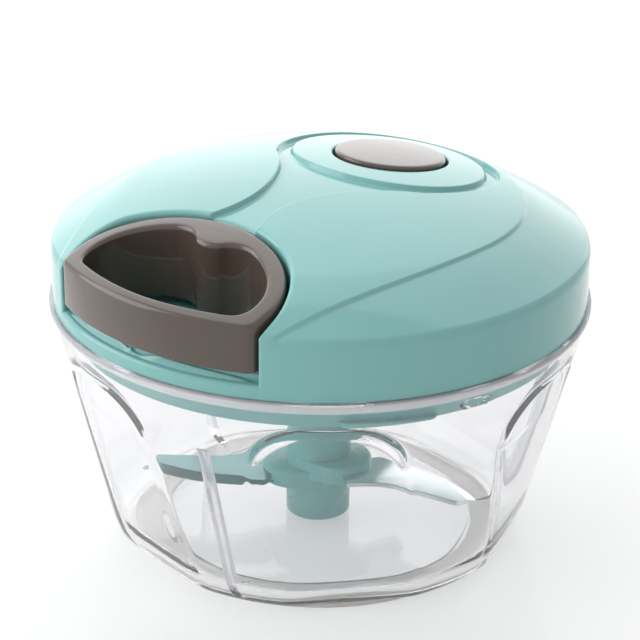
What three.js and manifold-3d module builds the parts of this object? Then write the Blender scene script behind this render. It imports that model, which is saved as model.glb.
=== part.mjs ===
// A hand-pulled food chopper: a clear fluted bowl, a three-blade rotor on a pin in its floor, and a domed lid
// that holds a cord drum, its recoil spring and its one-way clutch. The pull handle lies in a notch of the lid.
// Millimetres, +Z up. The origin is the middle of the underside, the handle pulls towards -Y.
import * as THREE from "three";
import { mergeVertices } from "three/addons/utils/BufferGeometryUtils.js";
import Module from "manifold-3d";

// Driving sizes

const gap = { seat: 0.3, running: 0.4, button: 0.7, handle: 0.8, shaft: 0.6 };
const overrun = 5;
const detail = {
  bowl: 54, lid: 54, plate: 36, drum: 28, hub: 24, small: 16, screw: 8, cord: 6, arc: 3, crown: 6, bend: 3,
};

const bowl = {
  footRadius: 44, height: 60.9, mouthRadius: 63, wall: 2.05, cornerRadius: 6.5, innerCornerRadius: 9,
  cornerShare: 0.75,
  floorTop: 2.8, floor: 2, lipRise: 1.1, lipReach: 0.5, padRadius: 5.5, padRise: 1.4,
};
const flute = {
  count: 6, firstAngle: -48, halfWidth: 17.2, footHalfWidth: 14, cornerRadius: 12, drop: 9.5, depth: 2.6,
  soft: 1.2, swirl: 9, sideSteps: 5, cornerSteps: 5,
};
const rib = { count: 3, firstAngle: -72.8, slant: 4.2, thickness: 2, reach: 2, drop: 15.9 };
const lug = { count: 3, firstAngle: -16, halfWidth: 4.4, halfHeight: 1.1, reach: 1.3, drop: 4.8 };
const footRing = { width: 6.5, thickness: 1.5, soft: 0.4 };
const pin = { radius: 2, length: 11, tip: 0.6, sunk: 1.3 };

const rotor = {
  hubRadius: 7.6, drop: 4.4, socketDepth: 13, collarLength: 13.4, collarHalfWidth: 7.6, collarHeight: 4.6,
  angles: [220, 10, 100], lowest: 14, riseShares: [0, 0.06, 0.4236],
};
const blade = {
  tangStart: 2.6, tangEnd: 9, tangHalf: 5, root: 13.2, rootHalf: 9.2, waistShare: 0.595, waistSpine: 4,
  bellyShare: 0.714, bellyEdge: 7, tipGap: 5.4, tipEdge: 0.6, thickness: 1.2, bevel: 2.6, edge: 0.3,
  innerBevelShare: 0.6, stations: 13,
};

const lid = {
  inset: 0.5, wall: 2.2, apexRise: 27.7, crownRadius: 200, crownInset: 16.3, bendInset: 10.1, bendRise: 19.9,
  shoulderInset: 1.5, shoulderRise: 14.6, wallRise: 12, edgeSlopeShare: 0.5, creaseStep: 0.6, valleyDepth: 1.2,
};
const notch = { rise: 3.1, floorThickness: 2, wall: 2, railGap: 11, railWidth: 1.4, railShare: 0.333 };
const tear = { overlap: 0.2, cornerGap: 0.3, centreShare: 0.024, sideShare: 0.352, sillShare: 0.608 };
const valley = {
  mouthHalf: 7.4, waistHalf: 4.6, waistShare: 0.336, flankShare: 0.357, flankPlaceShare: 0.16,
  sideHalfShare: 0.437, sideShare: 0.4, backShare: 0.73,
};
const disc = { margin: 7.2, sideMargin: 11.4, shift: 0.8 };

const handle = {
  halfWidth: 28.4, backShare: 0.32, insetShare: 0.192, wall: 4.4, frontWall: 3.1, rise: 5.6, apexDrop: 0.3,
  crownRadius: 178, soft: 1.1, bossReach: 5.4, bossHalf: 8.6, stations: 52,
};
const sill = {
  inset: 1, width: 1.6, halfAngle: 26, endShare: 0.5, dipAngle: 6.5, dipShare: 0.75, sunkShare: 0.7,
  stations: 28,
};
const knot = { radius: 2.3, inset: 5.4, chamberRadius: 2.8 };
const cord = { radius: 0.9, pitch: 2.2, turns: 2.3, stepsPerTurn: 18 };
const guide = { boreRadius: 1.3, radius: 2.4, flangeRadius: 3.6, flange: 1 };

const plate = { rise: 0.5, thickness: 2, skirtDrop: 7.5, skirtThickness: 1.8, skirtInset: 2 };
const post = { radius: 5.2, bore: 3.9, bossWall: 3.2, bossOverlap: 2.1 };
const web = { count: 6, thickness: 1.4, depth: 3 };
const ramp = { start: -46, end: -24, rise: 0.3, lowRise: 0.9, highRise: 1.7, reach: 1.5, stations: 5 };
const seal = { height: 1.2 };

const springCase = {
  inset: 0.9, wall: 1.4, floor: 1.2, height: 5.6, firstAngle: 90, earCount: 3, earRadius: 3.4, earReach: 2.4,
  earThickness: 1.8,
};
const spring = { strip: 0.5, turns: 3.5, stepsPerTurn: 16 };
const drum = {
  hubRadius: 7.3, mouthGap: 4.8, flangeReach: 3.2, flange: 1.5, coreWall: 2.6, topFlange: 1.2, teeth: 12,
  toothDepth: 1.4, toothShare: 0.85,
};
const shaft = { radius: 3.2, sides: 6, collarRadius: 5.4, collar: 1.7, endGap: 1.5 };
const spider = { hubRadius: 6, height: 4, arms: 3, armWidth: 2.2, armSweep: 70, armSteps: 7 };

const button = {
  radius: 13.2, proud: 0.8, capHeight: 2, stemRadius: 2.7, stemReach: 1.5, cupWall: 1.5, floor: 1,
};
const buttonSpring = { radius: 6, wire: 0.5, turns: 2, stepsPerTurn: 14 };
const lidScrew = {
  angles: [-18, 198, 50, 130], inset: 12.5, radius: 1.4, headRadius: 2.8, head: 1.4, length: 11, bossRadius: 3.4,
};
const caseScrew = { radius: 1, headRadius: 2, head: 1.1, length: 3.6, postRadius: 2.4 };
const clutchScrew = { radius: 1.2, headRadius: 3, head: 1.3, length: 5 };

// Places worked out from the driving sizes, bowl first

const wallSlope = (bowl.mouthRadius - bowl.footRadius - bowl.cornerRadius * bowl.cornerShare) / bowl.height;
const wallFoot = bowl.mouthRadius - wallSlope * bowl.height;
const wallAt = (height) => wallFoot + wallSlope * height;
const innerWallAt = (height) => wallAt(height) - bowl.wall;
const lean = Math.atan(wallSlope);
const footRingInner = bowl.footRadius - footRing.width;
const recessTop = footRing.thickness + gap.seat;
const floorUnder = bowl.floorTop - bowl.floor;
const padTop = bowl.floorTop + bowl.padRise;
const pinBottom = padTop - pin.sunk - gap.seat;
const rotorTop = bowl.height - rotor.drop;
const hubBottom = bowl.floorTop + gap.seat;
const bladeHeights = rotor.riseShares.map((share) => rotor.lowest + (rotorTop - rotor.lowest) * share);
const bladeTip = innerWallAt(rotor.lowest) - flute.depth - blade.tipGap;

const rimTop = bowl.height + gap.seat;
const dome = {
  radius: bowl.mouthRadius - lid.inset,
  apex: rimTop + lid.apexRise,
  crownEdge: bowl.mouthRadius - lid.inset - lid.crownInset,
  bendRadius: bowl.mouthRadius - lid.inset - lid.bendInset,
  bend: rimTop + lid.bendRise,
  shoulderRadius: bowl.mouthRadius - lid.inset - lid.shoulderInset,
  shoulder: rimTop + lid.shoulderRise,
  wallTop: rimTop + lid.wallRise,
};
const plateTop = rimTop + plate.rise;
const plateRadius = dome.radius - lid.wall - gap.seat;
const skirtTop = plateTop - plate.thickness;
const skirtBottom = bowl.height - plate.skirtDrop;
const skirtOuterAt = (height) => innerWallAt(height) - plate.skirtInset;
const sealTop = skirtTop - gap.seat;

const ringCentre = dome.radius * (handle.insetShare - 1);
const backReach = dome.radius * handle.backShare;
const ringBottom = rimTop + handle.rise;
const ringApex = dome.apex - handle.apexDrop;
const notchFloor = rimTop + notch.rise;
const notchBack = ringCentre + backReach + gap.handle;
const knotPlace = ringCentre + backReach - knot.inset;
const guideMouth = notchBack + notch.wall + guide.flange;

const flangeRadius = -guideMouth - drum.mouthGap;
const coreRadius = flangeRadius - drum.flangeReach;
const caseRadius = flangeRadius - springCase.inset;
const caseBottom = plateTop + gap.seat;
const caseTop = caseBottom + springCase.height;
const earPlace = caseRadius + springCase.earReach;
const drumBottom = caseTop + gap.shaft;
const postTop = drumBottom - drum.flange - gap.seat;
const webTop = drumBottom + drum.flange;
const cordHeight = webTop + gap.seat + cord.radius;
const channelTop = cordHeight + cord.turns * cord.pitch + cord.radius + gap.seat;
const drumTop = channelTop + drum.topFlange;
const drumInner = coreRadius - drum.coreWall;
const windingRadius = coreRadius + cord.radius + gap.seat;
const leadRadius = windingRadius + 2 * cord.radius + gap.seat;
const spiderBottom = webTop + gap.running;
const spiderTop = spiderBottom + spider.height;

const buttonPlace = flangeRadius + button.stemRadius + gap.handle;
const buttonRecess = button.radius + gap.button;
const cupFloor = drumTop + gap.shaft;
const capEdgeDrop = (buttonPlace + button.radius) ** 2 / (2 * lid.crownRadius);
const capBottom = dome.apex - capEdgeDrop + button.proud - button.capHeight;
const lidScrewPlace = dome.radius - lidScrew.inset;
// The angle where a line from the guide's mouth touches a circle round the drum, on the -X side.
const leadAngle = -Math.PI / 2 - Math.acos(leadRadius / -guideMouth);

// Finishes

const finish = (colour, roughness, metalness, more = {}) =>
  new THREE.MeshStandardMaterial({ color: colour, roughness, metalness, ...more });
const clear = finish(0xeef4f4, 0.05, 0, { transparent: true, opacity: 0.35 });
const mint = finish(0x9fd3cf, 0.3, 0);
const taupe = finish(0x7a6c65, 0.45, 0);
const white = finish(0xe8e6e0, 0.5, 0);
const rubber = finish(0x8d827a, 0.8, 0);
const steel = finish(0xc4c7c9, 0.25, 1);
const cordGrey = finish(0xdedad2, 0.9, 0);

// Solids

const wasm = await Module();
wasm.setup();
const chopper = new THREE.Group();
const radians = THREE.MathUtils.degToRad;

// A closed geometry as a solid that can be joined and cut, with its faces turned outwards.
function solid(geometry) {
  const bare = geometry.clone();
  bare.deleteAttribute("normal");
  bare.deleteAttribute("uv");
  const merged = mergeVertices(bare);
  const vertProperties = new Float32Array(merged.attributes.position.array);
  const corner = (i) => new THREE.Vector3().fromArray(vertProperties, i * 3);
  const faces = [];
  let volume = 0;
  for (let i = 0; i < merged.index.count; i += 3) {
    const [a, b, c] = [0, 1, 2].map((k) => merged.index.getX(i + k));
    if (a !== b && b !== c && c !== a) {
      faces.push([a, b, c]);
      volume += corner(a).dot(corner(b).cross(corner(c)));
    }
  }
  const outward = volume > 0 ? faces : faces.map(([a, b, c]) => [a, c, b]);
  const triVerts = new Uint32Array(outward.flat());
  return new wasm.Manifold(new wasm.Mesh({ numProp: 3, vertProperties, triVerts }));
}

function geometryOf(body) {
  const mesh = body.getMesh();
  const indexed = new THREE.BufferGeometry();
  indexed.setAttribute("position", new THREE.BufferAttribute(new Float32Array(mesh.vertProperties), 3));
  indexed.setIndex(new THREE.BufferAttribute(new Uint32Array(mesh.triVerts), 1));
  const flat = indexed.toNonIndexed();
  flat.computeVertexNormals();
  return flat;
}

function addPart(name, body, material) {
  const mesh = new THREE.Mesh(geometryOf(body), material);
  mesh.name = name;
  chopper.add(mesh);
}

const joined = (bodies) => bodies.reduce((all, one) => all.add(one));

// The points of a line whose corners, given as [x, y, radius], are rounded where they name a radius.
function rounded(corners) {
  const points = [];
  corners.forEach(([x, y, radius = 0], i) => {
    const here = new THREE.Vector2(x, y);
    if (radius === 0) {
      points.push(here);
      return;
    }
    const before = new THREE.Vector2(...corners[i - 1].slice(0, 2)).sub(here).normalize();
    const after = new THREE.Vector2(...corners[i + 1].slice(0, 2)).sub(here).normalize();
    const half = Math.acos(before.dot(after)) / 2;
    const centre = before.clone().add(after).normalize().multiplyScalar(radius / Math.sin(half)).add(here);
    const from = before.multiplyScalar(radius / Math.tan(half)).add(here).sub(centre);
    const to = after.multiplyScalar(radius / Math.tan(half)).add(here).sub(centre);
    const turn = Math.atan2(from.cross(to), from.dot(to));
    for (let k = 0; k <= detail.arc; k++) {
      points.push(from.clone().rotateAround(new THREE.Vector2(), (turn * k) / detail.arc).add(centre));
    }
  });
  return points;
}

// A profile of radii and heights turned about the Z axis.
function turned(profile, segments) {
  const points = profile.map((p) => (p.isVector2 ? p : new THREE.Vector2(p[0], p[1])));
  return new THREE.LatheGeometry(points, segments).rotateX(Math.PI / 2);
}

function ring(inner, outer, bottom, top, segments) {
  return turned([[inner, bottom], [outer, bottom], [outer, top], [inner, top], [inner, bottom]], segments);
}

function rod(radius, bottom, top, segments) {
  return new THREE.CylinderGeometry(radius, radius, top - bottom, segments).rotateX(Math.PI / 2)
    .translate(0, 0, (bottom + top) / 2);
}

function block(x0, x1, y0, y1, z0, z1) {
  const box = new THREE.BoxGeometry(x1 - x0, y1 - y0, z1 - z0);
  return box.translate((x0 + x1) / 2, (y0 + y1) / 2, (z0 + z1) / 2);
}

function prism(shape, bottom, top, curveSegments = 10) {
  return new THREE.ExtrudeGeometry(shape, { depth: top - bottom, bevelEnabled: false, curveSegments })
    .translate(0, 0, bottom);
}

// Quads between closed loops that all have the same number of points. Both ends are closed, or the last loop is
// joined to the first.
function loft(loops, closed) {
  const count = loops[0].length;
  const index = [];
  const last = closed ? loops.length : loops.length - 1;
  for (let i = 0; i < last; i++) {
    const next = (i + 1) % loops.length;
    for (let k = 0; k < count; k++) {
      const m = (k + 1) % count;
      index.push(i * count + k, next * count + k, next * count + m);
      index.push(i * count + k, next * count + m, i * count + m);
    }
  }
  if (!closed) {
    for (let k = 1; k < count - 1; k++) {
      const end = (loops.length - 1) * count;
      index.push(0, k, k + 1);
      index.push(end, end + k + 1, end + k);
    }
  }
  const geometry = new THREE.BufferGeometry();
  const positions = loops.flat().flatMap((p) => [p.x, p.y, p.z]);
  geometry.setAttribute("position", new THREE.Float32BufferAttribute(positions, 3));
  geometry.setIndex(index);
  return geometry;
}

// A round cord or wire along a curve.
function strand(curve, radius, steps) {
  const section = new THREE.Shape().absarc(0, 0, radius, 0, 2 * Math.PI);
  const options = { extrudePath: curve, steps, curveSegments: detail.cord / 2, bevelEnabled: false };
  return new THREE.ExtrudeGeometry(section, options);
}

class Helix extends THREE.Curve {
  constructor(radius, start, startAngle, pitch, turns) {
    super();
    Object.assign(this, { radius, start, startAngle, pitch, turns });
  }

  getPoint(t, target = new THREE.Vector3()) {
    const angle = this.startAngle + 2 * Math.PI * this.turns * t;
    const height = this.start + this.pitch * Math.abs(this.turns) * t;
    return target.set(this.radius * Math.cos(angle), this.radius * Math.sin(angle), height);
  }
}

function around(count, firstAngle, make) {
  return Array.from({ length: count }, (_, i) => make(radians(firstAngle + (360 / count) * i), i));
}

// Bowl

// Stands a shape drawn on the bowl's wall, with y up the wall and z out of it, at its place round the bowl.
function onWall(geometry, angle) {
  const up = new THREE.Vector3(Math.sin(lean), 0, Math.cos(lean));
  const out = new THREE.Vector3(Math.cos(lean), 0, -Math.sin(lean));
  const basis = new THREE.Matrix4().makeBasis(new THREE.Vector3(0, 1, 0), up, out);
  return geometry.applyMatrix4(basis).translate(wallFoot, 0, 0).rotateZ(angle);
}

// Cuts one flute: a flat that turns with the wall as it rises, with straight sides and rounded top corners.
function fluteTool(angle, grown) {
  const spring = bowl.height - flute.drop - flute.cornerRadius;
  const corner = flute.cornerRadius + grown;
  const flat = flute.halfWidth - flute.cornerRadius;
  const section = (z, half, raise) => {
    const share = 1 - THREE.MathUtils.clamp(z / spring, 0, 1);
    const depth = flute.depth + grown - raise;
    const floor = wallAt(z) - depth;
    const outside = floor + depth + 2 * overrun;
    const axis = new THREE.Vector3(0, 0, 1);
    const turn = angle + radians(flute.swirl * share);
    const side = (sign) => [[floor, half - flute.soft], [floor + flute.soft, half], [outside, half]]
      .map(([x, y]) => new THREE.Vector3(x, sign * y, z).applyAxisAngle(axis, turn));
    return [...side(1), ...side(-1).reverse()];
  };
  const loops = [];
  for (let k = 0; k <= flute.sideSteps; k++) {
    const z = (spring * k) / flute.sideSteps - (k === 0 ? overrun : 0);
    const spread = (flute.halfWidth - flute.footHalfWidth) * (k / flute.sideSteps);
    loops.push(section(z, flute.footHalfWidth + spread + grown, 0));
  }
  for (let k = 1; k <= flute.cornerSteps; k++) {
    const bend = (Math.PI / 2) * (k / flute.cornerSteps);
    const raise = k === flute.cornerSteps ? flute.soft : 0;
    loops.push(section(spring + corner * Math.sin(bend), flat + corner * Math.cos(bend), raise));
  }
  return solid(loft(loops, false));
}

function makeBowl() {
  const outer = solid(turned(rounded([
    [0, floorUnder],
    [footRingInner - gap.seat, floorUnder],
    [footRingInner - gap.seat, recessTop],
    [wallAt(recessTop), recessTop, bowl.cornerRadius],
    [wallAt(bowl.height - 2 * bowl.lipRise), bowl.height - 2 * bowl.lipRise],
    [bowl.mouthRadius + bowl.lipReach, bowl.height - bowl.lipRise],
    [bowl.mouthRadius + bowl.lipReach, bowl.height],
    [0, bowl.height],
  ]), detail.bowl));
  const inner = solid(turned(rounded([
    [0, bowl.floorTop],
    [innerWallAt(bowl.floorTop), bowl.floorTop, bowl.innerCornerRadius],
    [innerWallAt(bowl.height + overrun), bowl.height + overrun],
    [0, bowl.height + overrun],
  ]), detail.bowl));
  const panels = joined(around(flute.count, flute.firstAngle, (angle) => fluteTool(angle, 0)));
  const hollows = joined(around(flute.count, flute.firstAngle, (angle) => fluteTool(angle, bowl.wall)));
  const ribTop = (bowl.height - rib.drop) / Math.cos(lean);
  const ribs = around(rib.count, rib.firstAngle, (angle) => solid(onWall(
    block(-rib.thickness / 2, rib.thickness / 2, 0, ribTop, -bowl.wall - rib.reach, -bowl.wall / 2)
      .rotateZ(radians(rib.slant)), angle)));
  const lugs = around(lug.count, lug.firstAngle, (angle) => {
    const oval = rod(lug.halfHeight, -bowl.wall - lug.reach, -bowl.wall / 2, detail.small)
      .scale(lug.halfWidth / lug.halfHeight, 1, 1).translate(0, (bowl.height - lug.drop) / Math.cos(lean), 0);
    return solid(onWall(oval, angle));
  });
  const shell = outer.subtract(panels).subtract(inner.subtract(hollows));
  const inside = outer.subtract(panels);
  const pad = solid(rod(bowl.padRadius, floorUnder, padTop, detail.small));
  const pinHole = solid(rod(pin.radius + gap.seat, pinBottom - gap.seat, padTop + overrun, detail.small));
  return joined([shell, ...ribs.map((one) => one.intersect(inside)), ...lugs, pad]).subtract(pinHole);
}

function makeFootRing() {
  const { thickness, soft } = footRing;
  return solid(turned([
    [footRingInner, thickness], [footRingInner, 0], [bowl.footRadius - soft, 0], [bowl.footRadius, soft],
    [bowl.footRadius, thickness], [footRingInner, thickness],
  ], detail.plate));
}

function makePin() {
  const top = pinBottom + pin.length;
  const profile = [[0, pinBottom], [pin.radius, pinBottom], [pin.radius, top - pin.tip], [0, top]];
  return solid(turned(profile, detail.small));
}

// Rotor

// Half of a blade's outline, running out from the hub: the blunt spine for side -1, the edge for side 1.
function bladeSide(side) {
  const path = new THREE.CurvePath();
  const at = (x, y) => new THREE.Vector2(x, side * y);
  const spine = side < 0;
  const root = at(blade.root, blade.rootHalf);
  const tang = at(blade.tangEnd, blade.tangHalf);
  const middle = spine
    ? at(bladeTip * blade.waistShare, blade.waistSpine)
    : at(bladeTip * blade.bellyShare, blade.bellyEdge);
  const tip = spine ? at(bladeTip - blade.bevel, blade.waistSpine) : at(bladeTip, blade.tipEdge);
  const bend = at((blade.root + middle.x) / 2, spine ? blade.waistSpine : blade.rootHalf);
  const sweep = spine
    ? at((middle.x + tip.x) / 2, blade.waistSpine)
    : at(tip.x - blade.bevel, blade.bellyEdge / 2);
  path.add(new THREE.LineCurve(at(blade.tangStart, blade.tangHalf), tang));
  path.add(new THREE.LineCurve(tang, root));
  path.add(new THREE.QuadraticBezierCurve(root, bend, middle));
  path.add(new THREE.QuadraticBezierCurve(middle, sweep, tip));
  return path;
}

function makeBlade(i) {
  const [spine, edge] = [bladeSide(-1), bladeSide(1)];
  const bottom = bladeHeights[i] - blade.thickness / 2;
  const loops = [];
  for (let k = 0; k <= blade.stations; k++) {
    const [s, e] = [spine.getPoint(k / blade.stations), edge.getPoint(k / blade.stations)];
    const ground = e.x > blade.tangEnd;
    const across = s.clone().sub(e);
    const share = Math.min(blade.bevel / across.length(), blade.innerBevelShare);
    const ridge = e.clone().addScaledVector(across, ground ? share : share * blade.innerBevelShare);
    loops.push([
      new THREE.Vector3(s.x, s.y, bottom),
      new THREE.Vector3(e.x, e.y, bottom),
      new THREE.Vector3(e.x, e.y, bottom + (ground ? blade.edge : blade.thickness)),
      new THREE.Vector3(ridge.x, ridge.y, bottom + blade.thickness),
      new THREE.Vector3(s.x, s.y, bottom + blade.thickness),
    ]);
  }
  return solid(loft(loops, false).rotateZ(radians(rotor.angles[i])));
}

function makeHub() {
  const tube = solid(turned(rounded([
    [0, hubBottom],
    [rotor.hubRadius, hubBottom],
    [rotor.hubRadius, rotorTop, gap.button],
    [0, rotorTop],
  ]), detail.hub));
  const collars = [];
  const slots = [];
  rotor.angles.forEach((angle, i) => {
    const shape = new THREE.Shape();
    const half = rotor.collarHalfWidth;
    shape.moveTo(0, -half);
    shape.lineTo(rotor.collarLength - half, -half);
    shape.absarc(rotor.collarLength - half, 0, half, -Math.PI / 2, Math.PI / 2, false);
    shape.lineTo(0, half);
    shape.closePath();
    const middle = bladeHeights[i];
    const collar = prism(shape, middle - rotor.collarHeight / 2, middle + rotor.collarHeight / 2, 6);
    collars.push(solid(collar.rotateZ(radians(angle))));
    const tangHalf = blade.tangHalf + gap.seat;
    const wideHalf = half + overrun;
    const low = middle - blade.thickness / 2 - gap.seat;
    const high = middle + blade.thickness / 2 + gap.seat;
    const tang = block(blade.tangStart - gap.seat, blade.tangEnd, -tangHalf, tangHalf, low, high);
    const wide = block(blade.tangEnd, rotor.collarLength + overrun, -wideHalf, wideHalf, low, high);
    slots.push(solid(tang).add(solid(wide)).rotate([0, 0, angle]));
  });
  const boreTop = pinBottom + pin.length + gap.seat;
  const bore = solid(rod(pin.radius + gap.shaft, hubBottom - overrun, boreTop, detail.screw));
  const seat = solid(rod(bowl.padRadius + gap.shaft, hubBottom - overrun, padTop + gap.seat, detail.small));
  const socketBottom = rotorTop - rotor.socketDepth;
  const socket = solid(rod(shaft.radius + gap.seat, socketBottom, rotorTop + overrun, shaft.sides));
  return joined([tube, ...collars]).subtract(joined(slots)).subtract(joined([bore, seat, socket]));
}

// Lid shell

// The lid's top from its middle to the top of its wall, raised by lift.
function lidProfile(lift, steps = detail.crown) {
  const points = [];
  const low = dome.apex - lid.creaseStep + lift;
  for (let k = 0; k <= steps; k++) {
    const r = (dome.crownEdge * k) / steps;
    points.push(new THREE.Vector2(r, low - (r * r) / (2 * lid.crownRadius)));
  }
  const crownEnd = points[points.length - 1].clone();
  const bend = new THREE.Vector2(dome.bendRadius, dome.bend + lift);
  const shoulder = new THREE.Vector2(dome.shoulderRadius, dome.shoulder + lift);
  const edgeDrop = (dome.radius - dome.shoulderRadius) * lid.edgeSlopeShare;
  const corner = new THREE.Vector2(dome.radius, shoulder.y - edgeDrop);
  const wallTop = new THREE.Vector2(dome.radius, dome.wallTop + lift);
  points.push(...new THREE.QuadraticBezierCurve(crownEnd, bend, shoulder).getPoints(detail.bend).slice(1));
  points.push(...new THREE.QuadraticBezierCurve(shoulder, corner, wallTop).getPoints(detail.bend).slice(1));
  return points;
}

function makeLidShell() {
  const body = (lift) => solid(turned([...lidProfile(lift), [dome.radius, rimTop], [0, rimTop]], detail.lid));
  const innerRadius = dome.radius - lid.wall;
  const hollowTop = -lid.valleyDepth + lid.creaseStep - lid.wall;
  const hollow = lidProfile(hollowTop, detail.crown / 2);
  hollow.forEach((p) => p.setX(Math.min(p.x, innerRadius)));
  const cavity = solid(turned([...hollow, [innerRadius, rimTop - overrun], [0, rimTop - overrun]], detail.lid));
  const raised = body(lid.creaseStep).intersect(solid(prism(tearShape(), rimTop, dome.apex + overrun)));
  const sunk = solid(prism(valleyShape(), rimTop, dome.apex + overrun, 8))
    .subtract(solid(prism(discShape(), rimTop - overrun, dome.apex + 2 * overrun, 14)))
    .subtract(body(lid.creaseStep - lid.valleyDepth));
  const pocket = solid(prism(notchShape(gap.handle), notchFloor, dome.apex + overrun, 9));
  const pocketWall = solid(prism(notchShape(gap.handle + notch.wall), notchFloor - notch.floorThickness,
    dome.apex + overrun, 9));
  const cup = solid(rod(buttonRecess + button.cupWall, cupFloor, dome.apex, detail.drum)
    .translate(0, buttonPlace, 0));
  const recess = solid(rod(buttonRecess, cupFloor + button.floor, dome.apex + overrun, detail.drum)
    .translate(0, buttonPlace, 0));
  const stemHole = solid(rod(button.stemRadius + gap.running, cupFloor - overrun, dome.apex, detail.screw)
    .translate(0, buttonPlace, 0));
  const atScrews = (radius, bottom, top) => lidScrew.angles.map((angle) => solid(
    rod(radius, bottom, top, detail.screw).translate(lidScrewPlace, 0, 0).rotateZ(radians(angle))));
  const bosses = atScrews(lidScrew.bossRadius, plateTop + gap.seat, dome.apex);
  const pilotTop = skirtTop + lidScrew.length + gap.seat;
  const pilots = atScrews(lidScrew.radius + gap.seat, plateTop - overrun, pilotTop);
  const guideHole = solid(rod(guide.radius + gap.seat, notchBack - overrun, notchBack + overrun, detail.screw)
    .rotateX(-Math.PI / 2).translate(0, 0, cordHeight));
  const railFront = ringCentre - backReach * notch.railShare;
  const rail = block(-notch.railWidth / 2, notch.railWidth / 2, railFront, notchBack - notch.wall / 2,
    notchFloor - notch.floorThickness / 2, ringBottom - gap.seat);
  const rails = [-1, 1].map((side) => solid(rail.clone().translate(side * notch.railGap, 0, 0)));
  const shell = body(0).add(raised).subtract(sunk)
    .subtract(cavity.subtract(joined([pocketWall, cup, ...bosses])));
  const holes = joined([pocket, recess, stemHole, guideHole, ...pilots]);
  return shell.subtract(holes).add(joined([...rails, makeSill()]));
}

// The raised lip on the notch's floor, under the handle's front, with a dip for a fingertip in its middle.
function makeSill() {
  const outer = dome.radius - sill.inset;
  const inner = outer - sill.width;
  const bottom = notchFloor - notch.floorThickness * sill.sunkShare;
  const foot = notchFloor - notch.floorThickness / 2;
  const rise = ringBottom - gap.handle - foot;
  const at = (r, angle, z) => new THREE.Vector3(r * Math.cos(angle), r * Math.sin(angle), z);
  const loops = [];
  for (let k = 0; k <= sill.stations; k++) {
    const turn = sill.halfAngle * ((2 * k) / sill.stations - 1);
    const angle = radians(turn - 90);
    const ends = Math.sin(Math.PI * (k / sill.stations)) ** sill.endShare;
    const dip = Math.abs(turn) < sill.dipAngle ? (1 + Math.cos((Math.PI * turn) / sill.dipAngle)) / 2 : 0;
    const top = foot + rise * ends * (1 - dip * sill.dipShare);
    const corners = [[inner, bottom], [outer, bottom], [outer, top], [inner, top]];
    loops.push(corners.map(([r, z]) => at(r, angle, z)));
  }
  return solid(loft(loops, false));
}

// The notch in the lid, or the handle's own outline where nothing is added. The sides are straight, and the
// back is half of an ellipse.
function notchShape(added) {
  const [half, reach] = [handle.halfWidth + added, backReach + added];
  const shape = new THREE.Shape();
  shape.moveTo(half, -dome.radius - overrun);
  shape.lineTo(half, ringCentre);
  shape.absellipse(0, ringCentre, half, reach, 0, Math.PI, false);
  shape.lineTo(-half, -dome.radius - overrun);
  shape.closePath();
  return shape;
}

// The raised field of the lid, a circle whose sides run in to the corners of the notch.
function tearShape() {
  const shape = new THREE.Shape();
  const cornerHalf = handle.halfWidth + gap.handle + tear.cornerGap;
  const corner = -Math.sqrt(dome.radius ** 2 - cornerHalf ** 2) - overrun;
  const radius = dome.crownEdge + tear.overlap;
  const shares = [tear.centreShare, tear.sideShare, tear.sillShare];
  const [centre, side, sill] = shares.map((share) => share * dome.radius);
  shape.moveTo(cornerHalf, corner);
  shape.bezierCurveTo(sill, -sill, radius, -side, radius, centre);
  shape.absarc(0, centre, radius, 0, Math.PI, false);
  shape.bezierCurveTo(-radius, -side, -sill, -sill, -cornerHalf, corner);
  shape.closePath();
  return shape;
}

// The sunk field, a keyhole that starts at the notch, narrows to a waist and widens round the button.
function valleyShape() {
  const start = notchBack - notch.wall;
  const across = (share) => share * dome.radius;
  const [waist, flankPlace, side] = [-valley.waistShare, valley.flankPlaceShare, valley.sideShare].map(across);
  const sideHalf = across(valley.sideHalfShare);
  const back = across(valley.backShare);
  const half = [
    [valley.mouthHalf, start],
    [valley.waistHalf, waist],
    [across(valley.flankShare), flankPlace],
    [sideHalf, side],
    [0, back],
  ];
  const shape = new THREE.Shape();
  const bend = [
    [valley.waistHalf, (start + waist) / 2],
    [valley.waistHalf, (flankPlace + waist) / 2],
    [sideHalf, (flankPlace + side) / 2],
    [sideHalf, back],
  ];
  shape.moveTo(...half[0]);
  bend.forEach(([x, y], i) => shape.quadraticCurveTo(x, y, ...half[i + 1]));
  bend.reverse().forEach(([x, y], i) => shape.quadraticCurveTo(-x, y, -half[3 - i][0], half[3 - i][1]));
  shape.closePath();
  return shape;
}

function discShape() {
  const shape = new THREE.Shape();
  const [halfWidth, halfLength] = [button.radius + disc.sideMargin, button.radius + disc.margin];
  shape.absellipse(0, buttonPlace - disc.shift, halfWidth, halfLength, 0, 2 * Math.PI, false);
  return shape;
}

// Lid base

// Rods at the places of the spring case's screws.
function atEars(radius, bottom, top) {
  return around(springCase.earCount, springCase.firstAngle, (angle) => solid(
    rod(radius, bottom, top, detail.screw).translate(earPlace, 0, 0).rotateZ(angle)));
}

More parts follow.
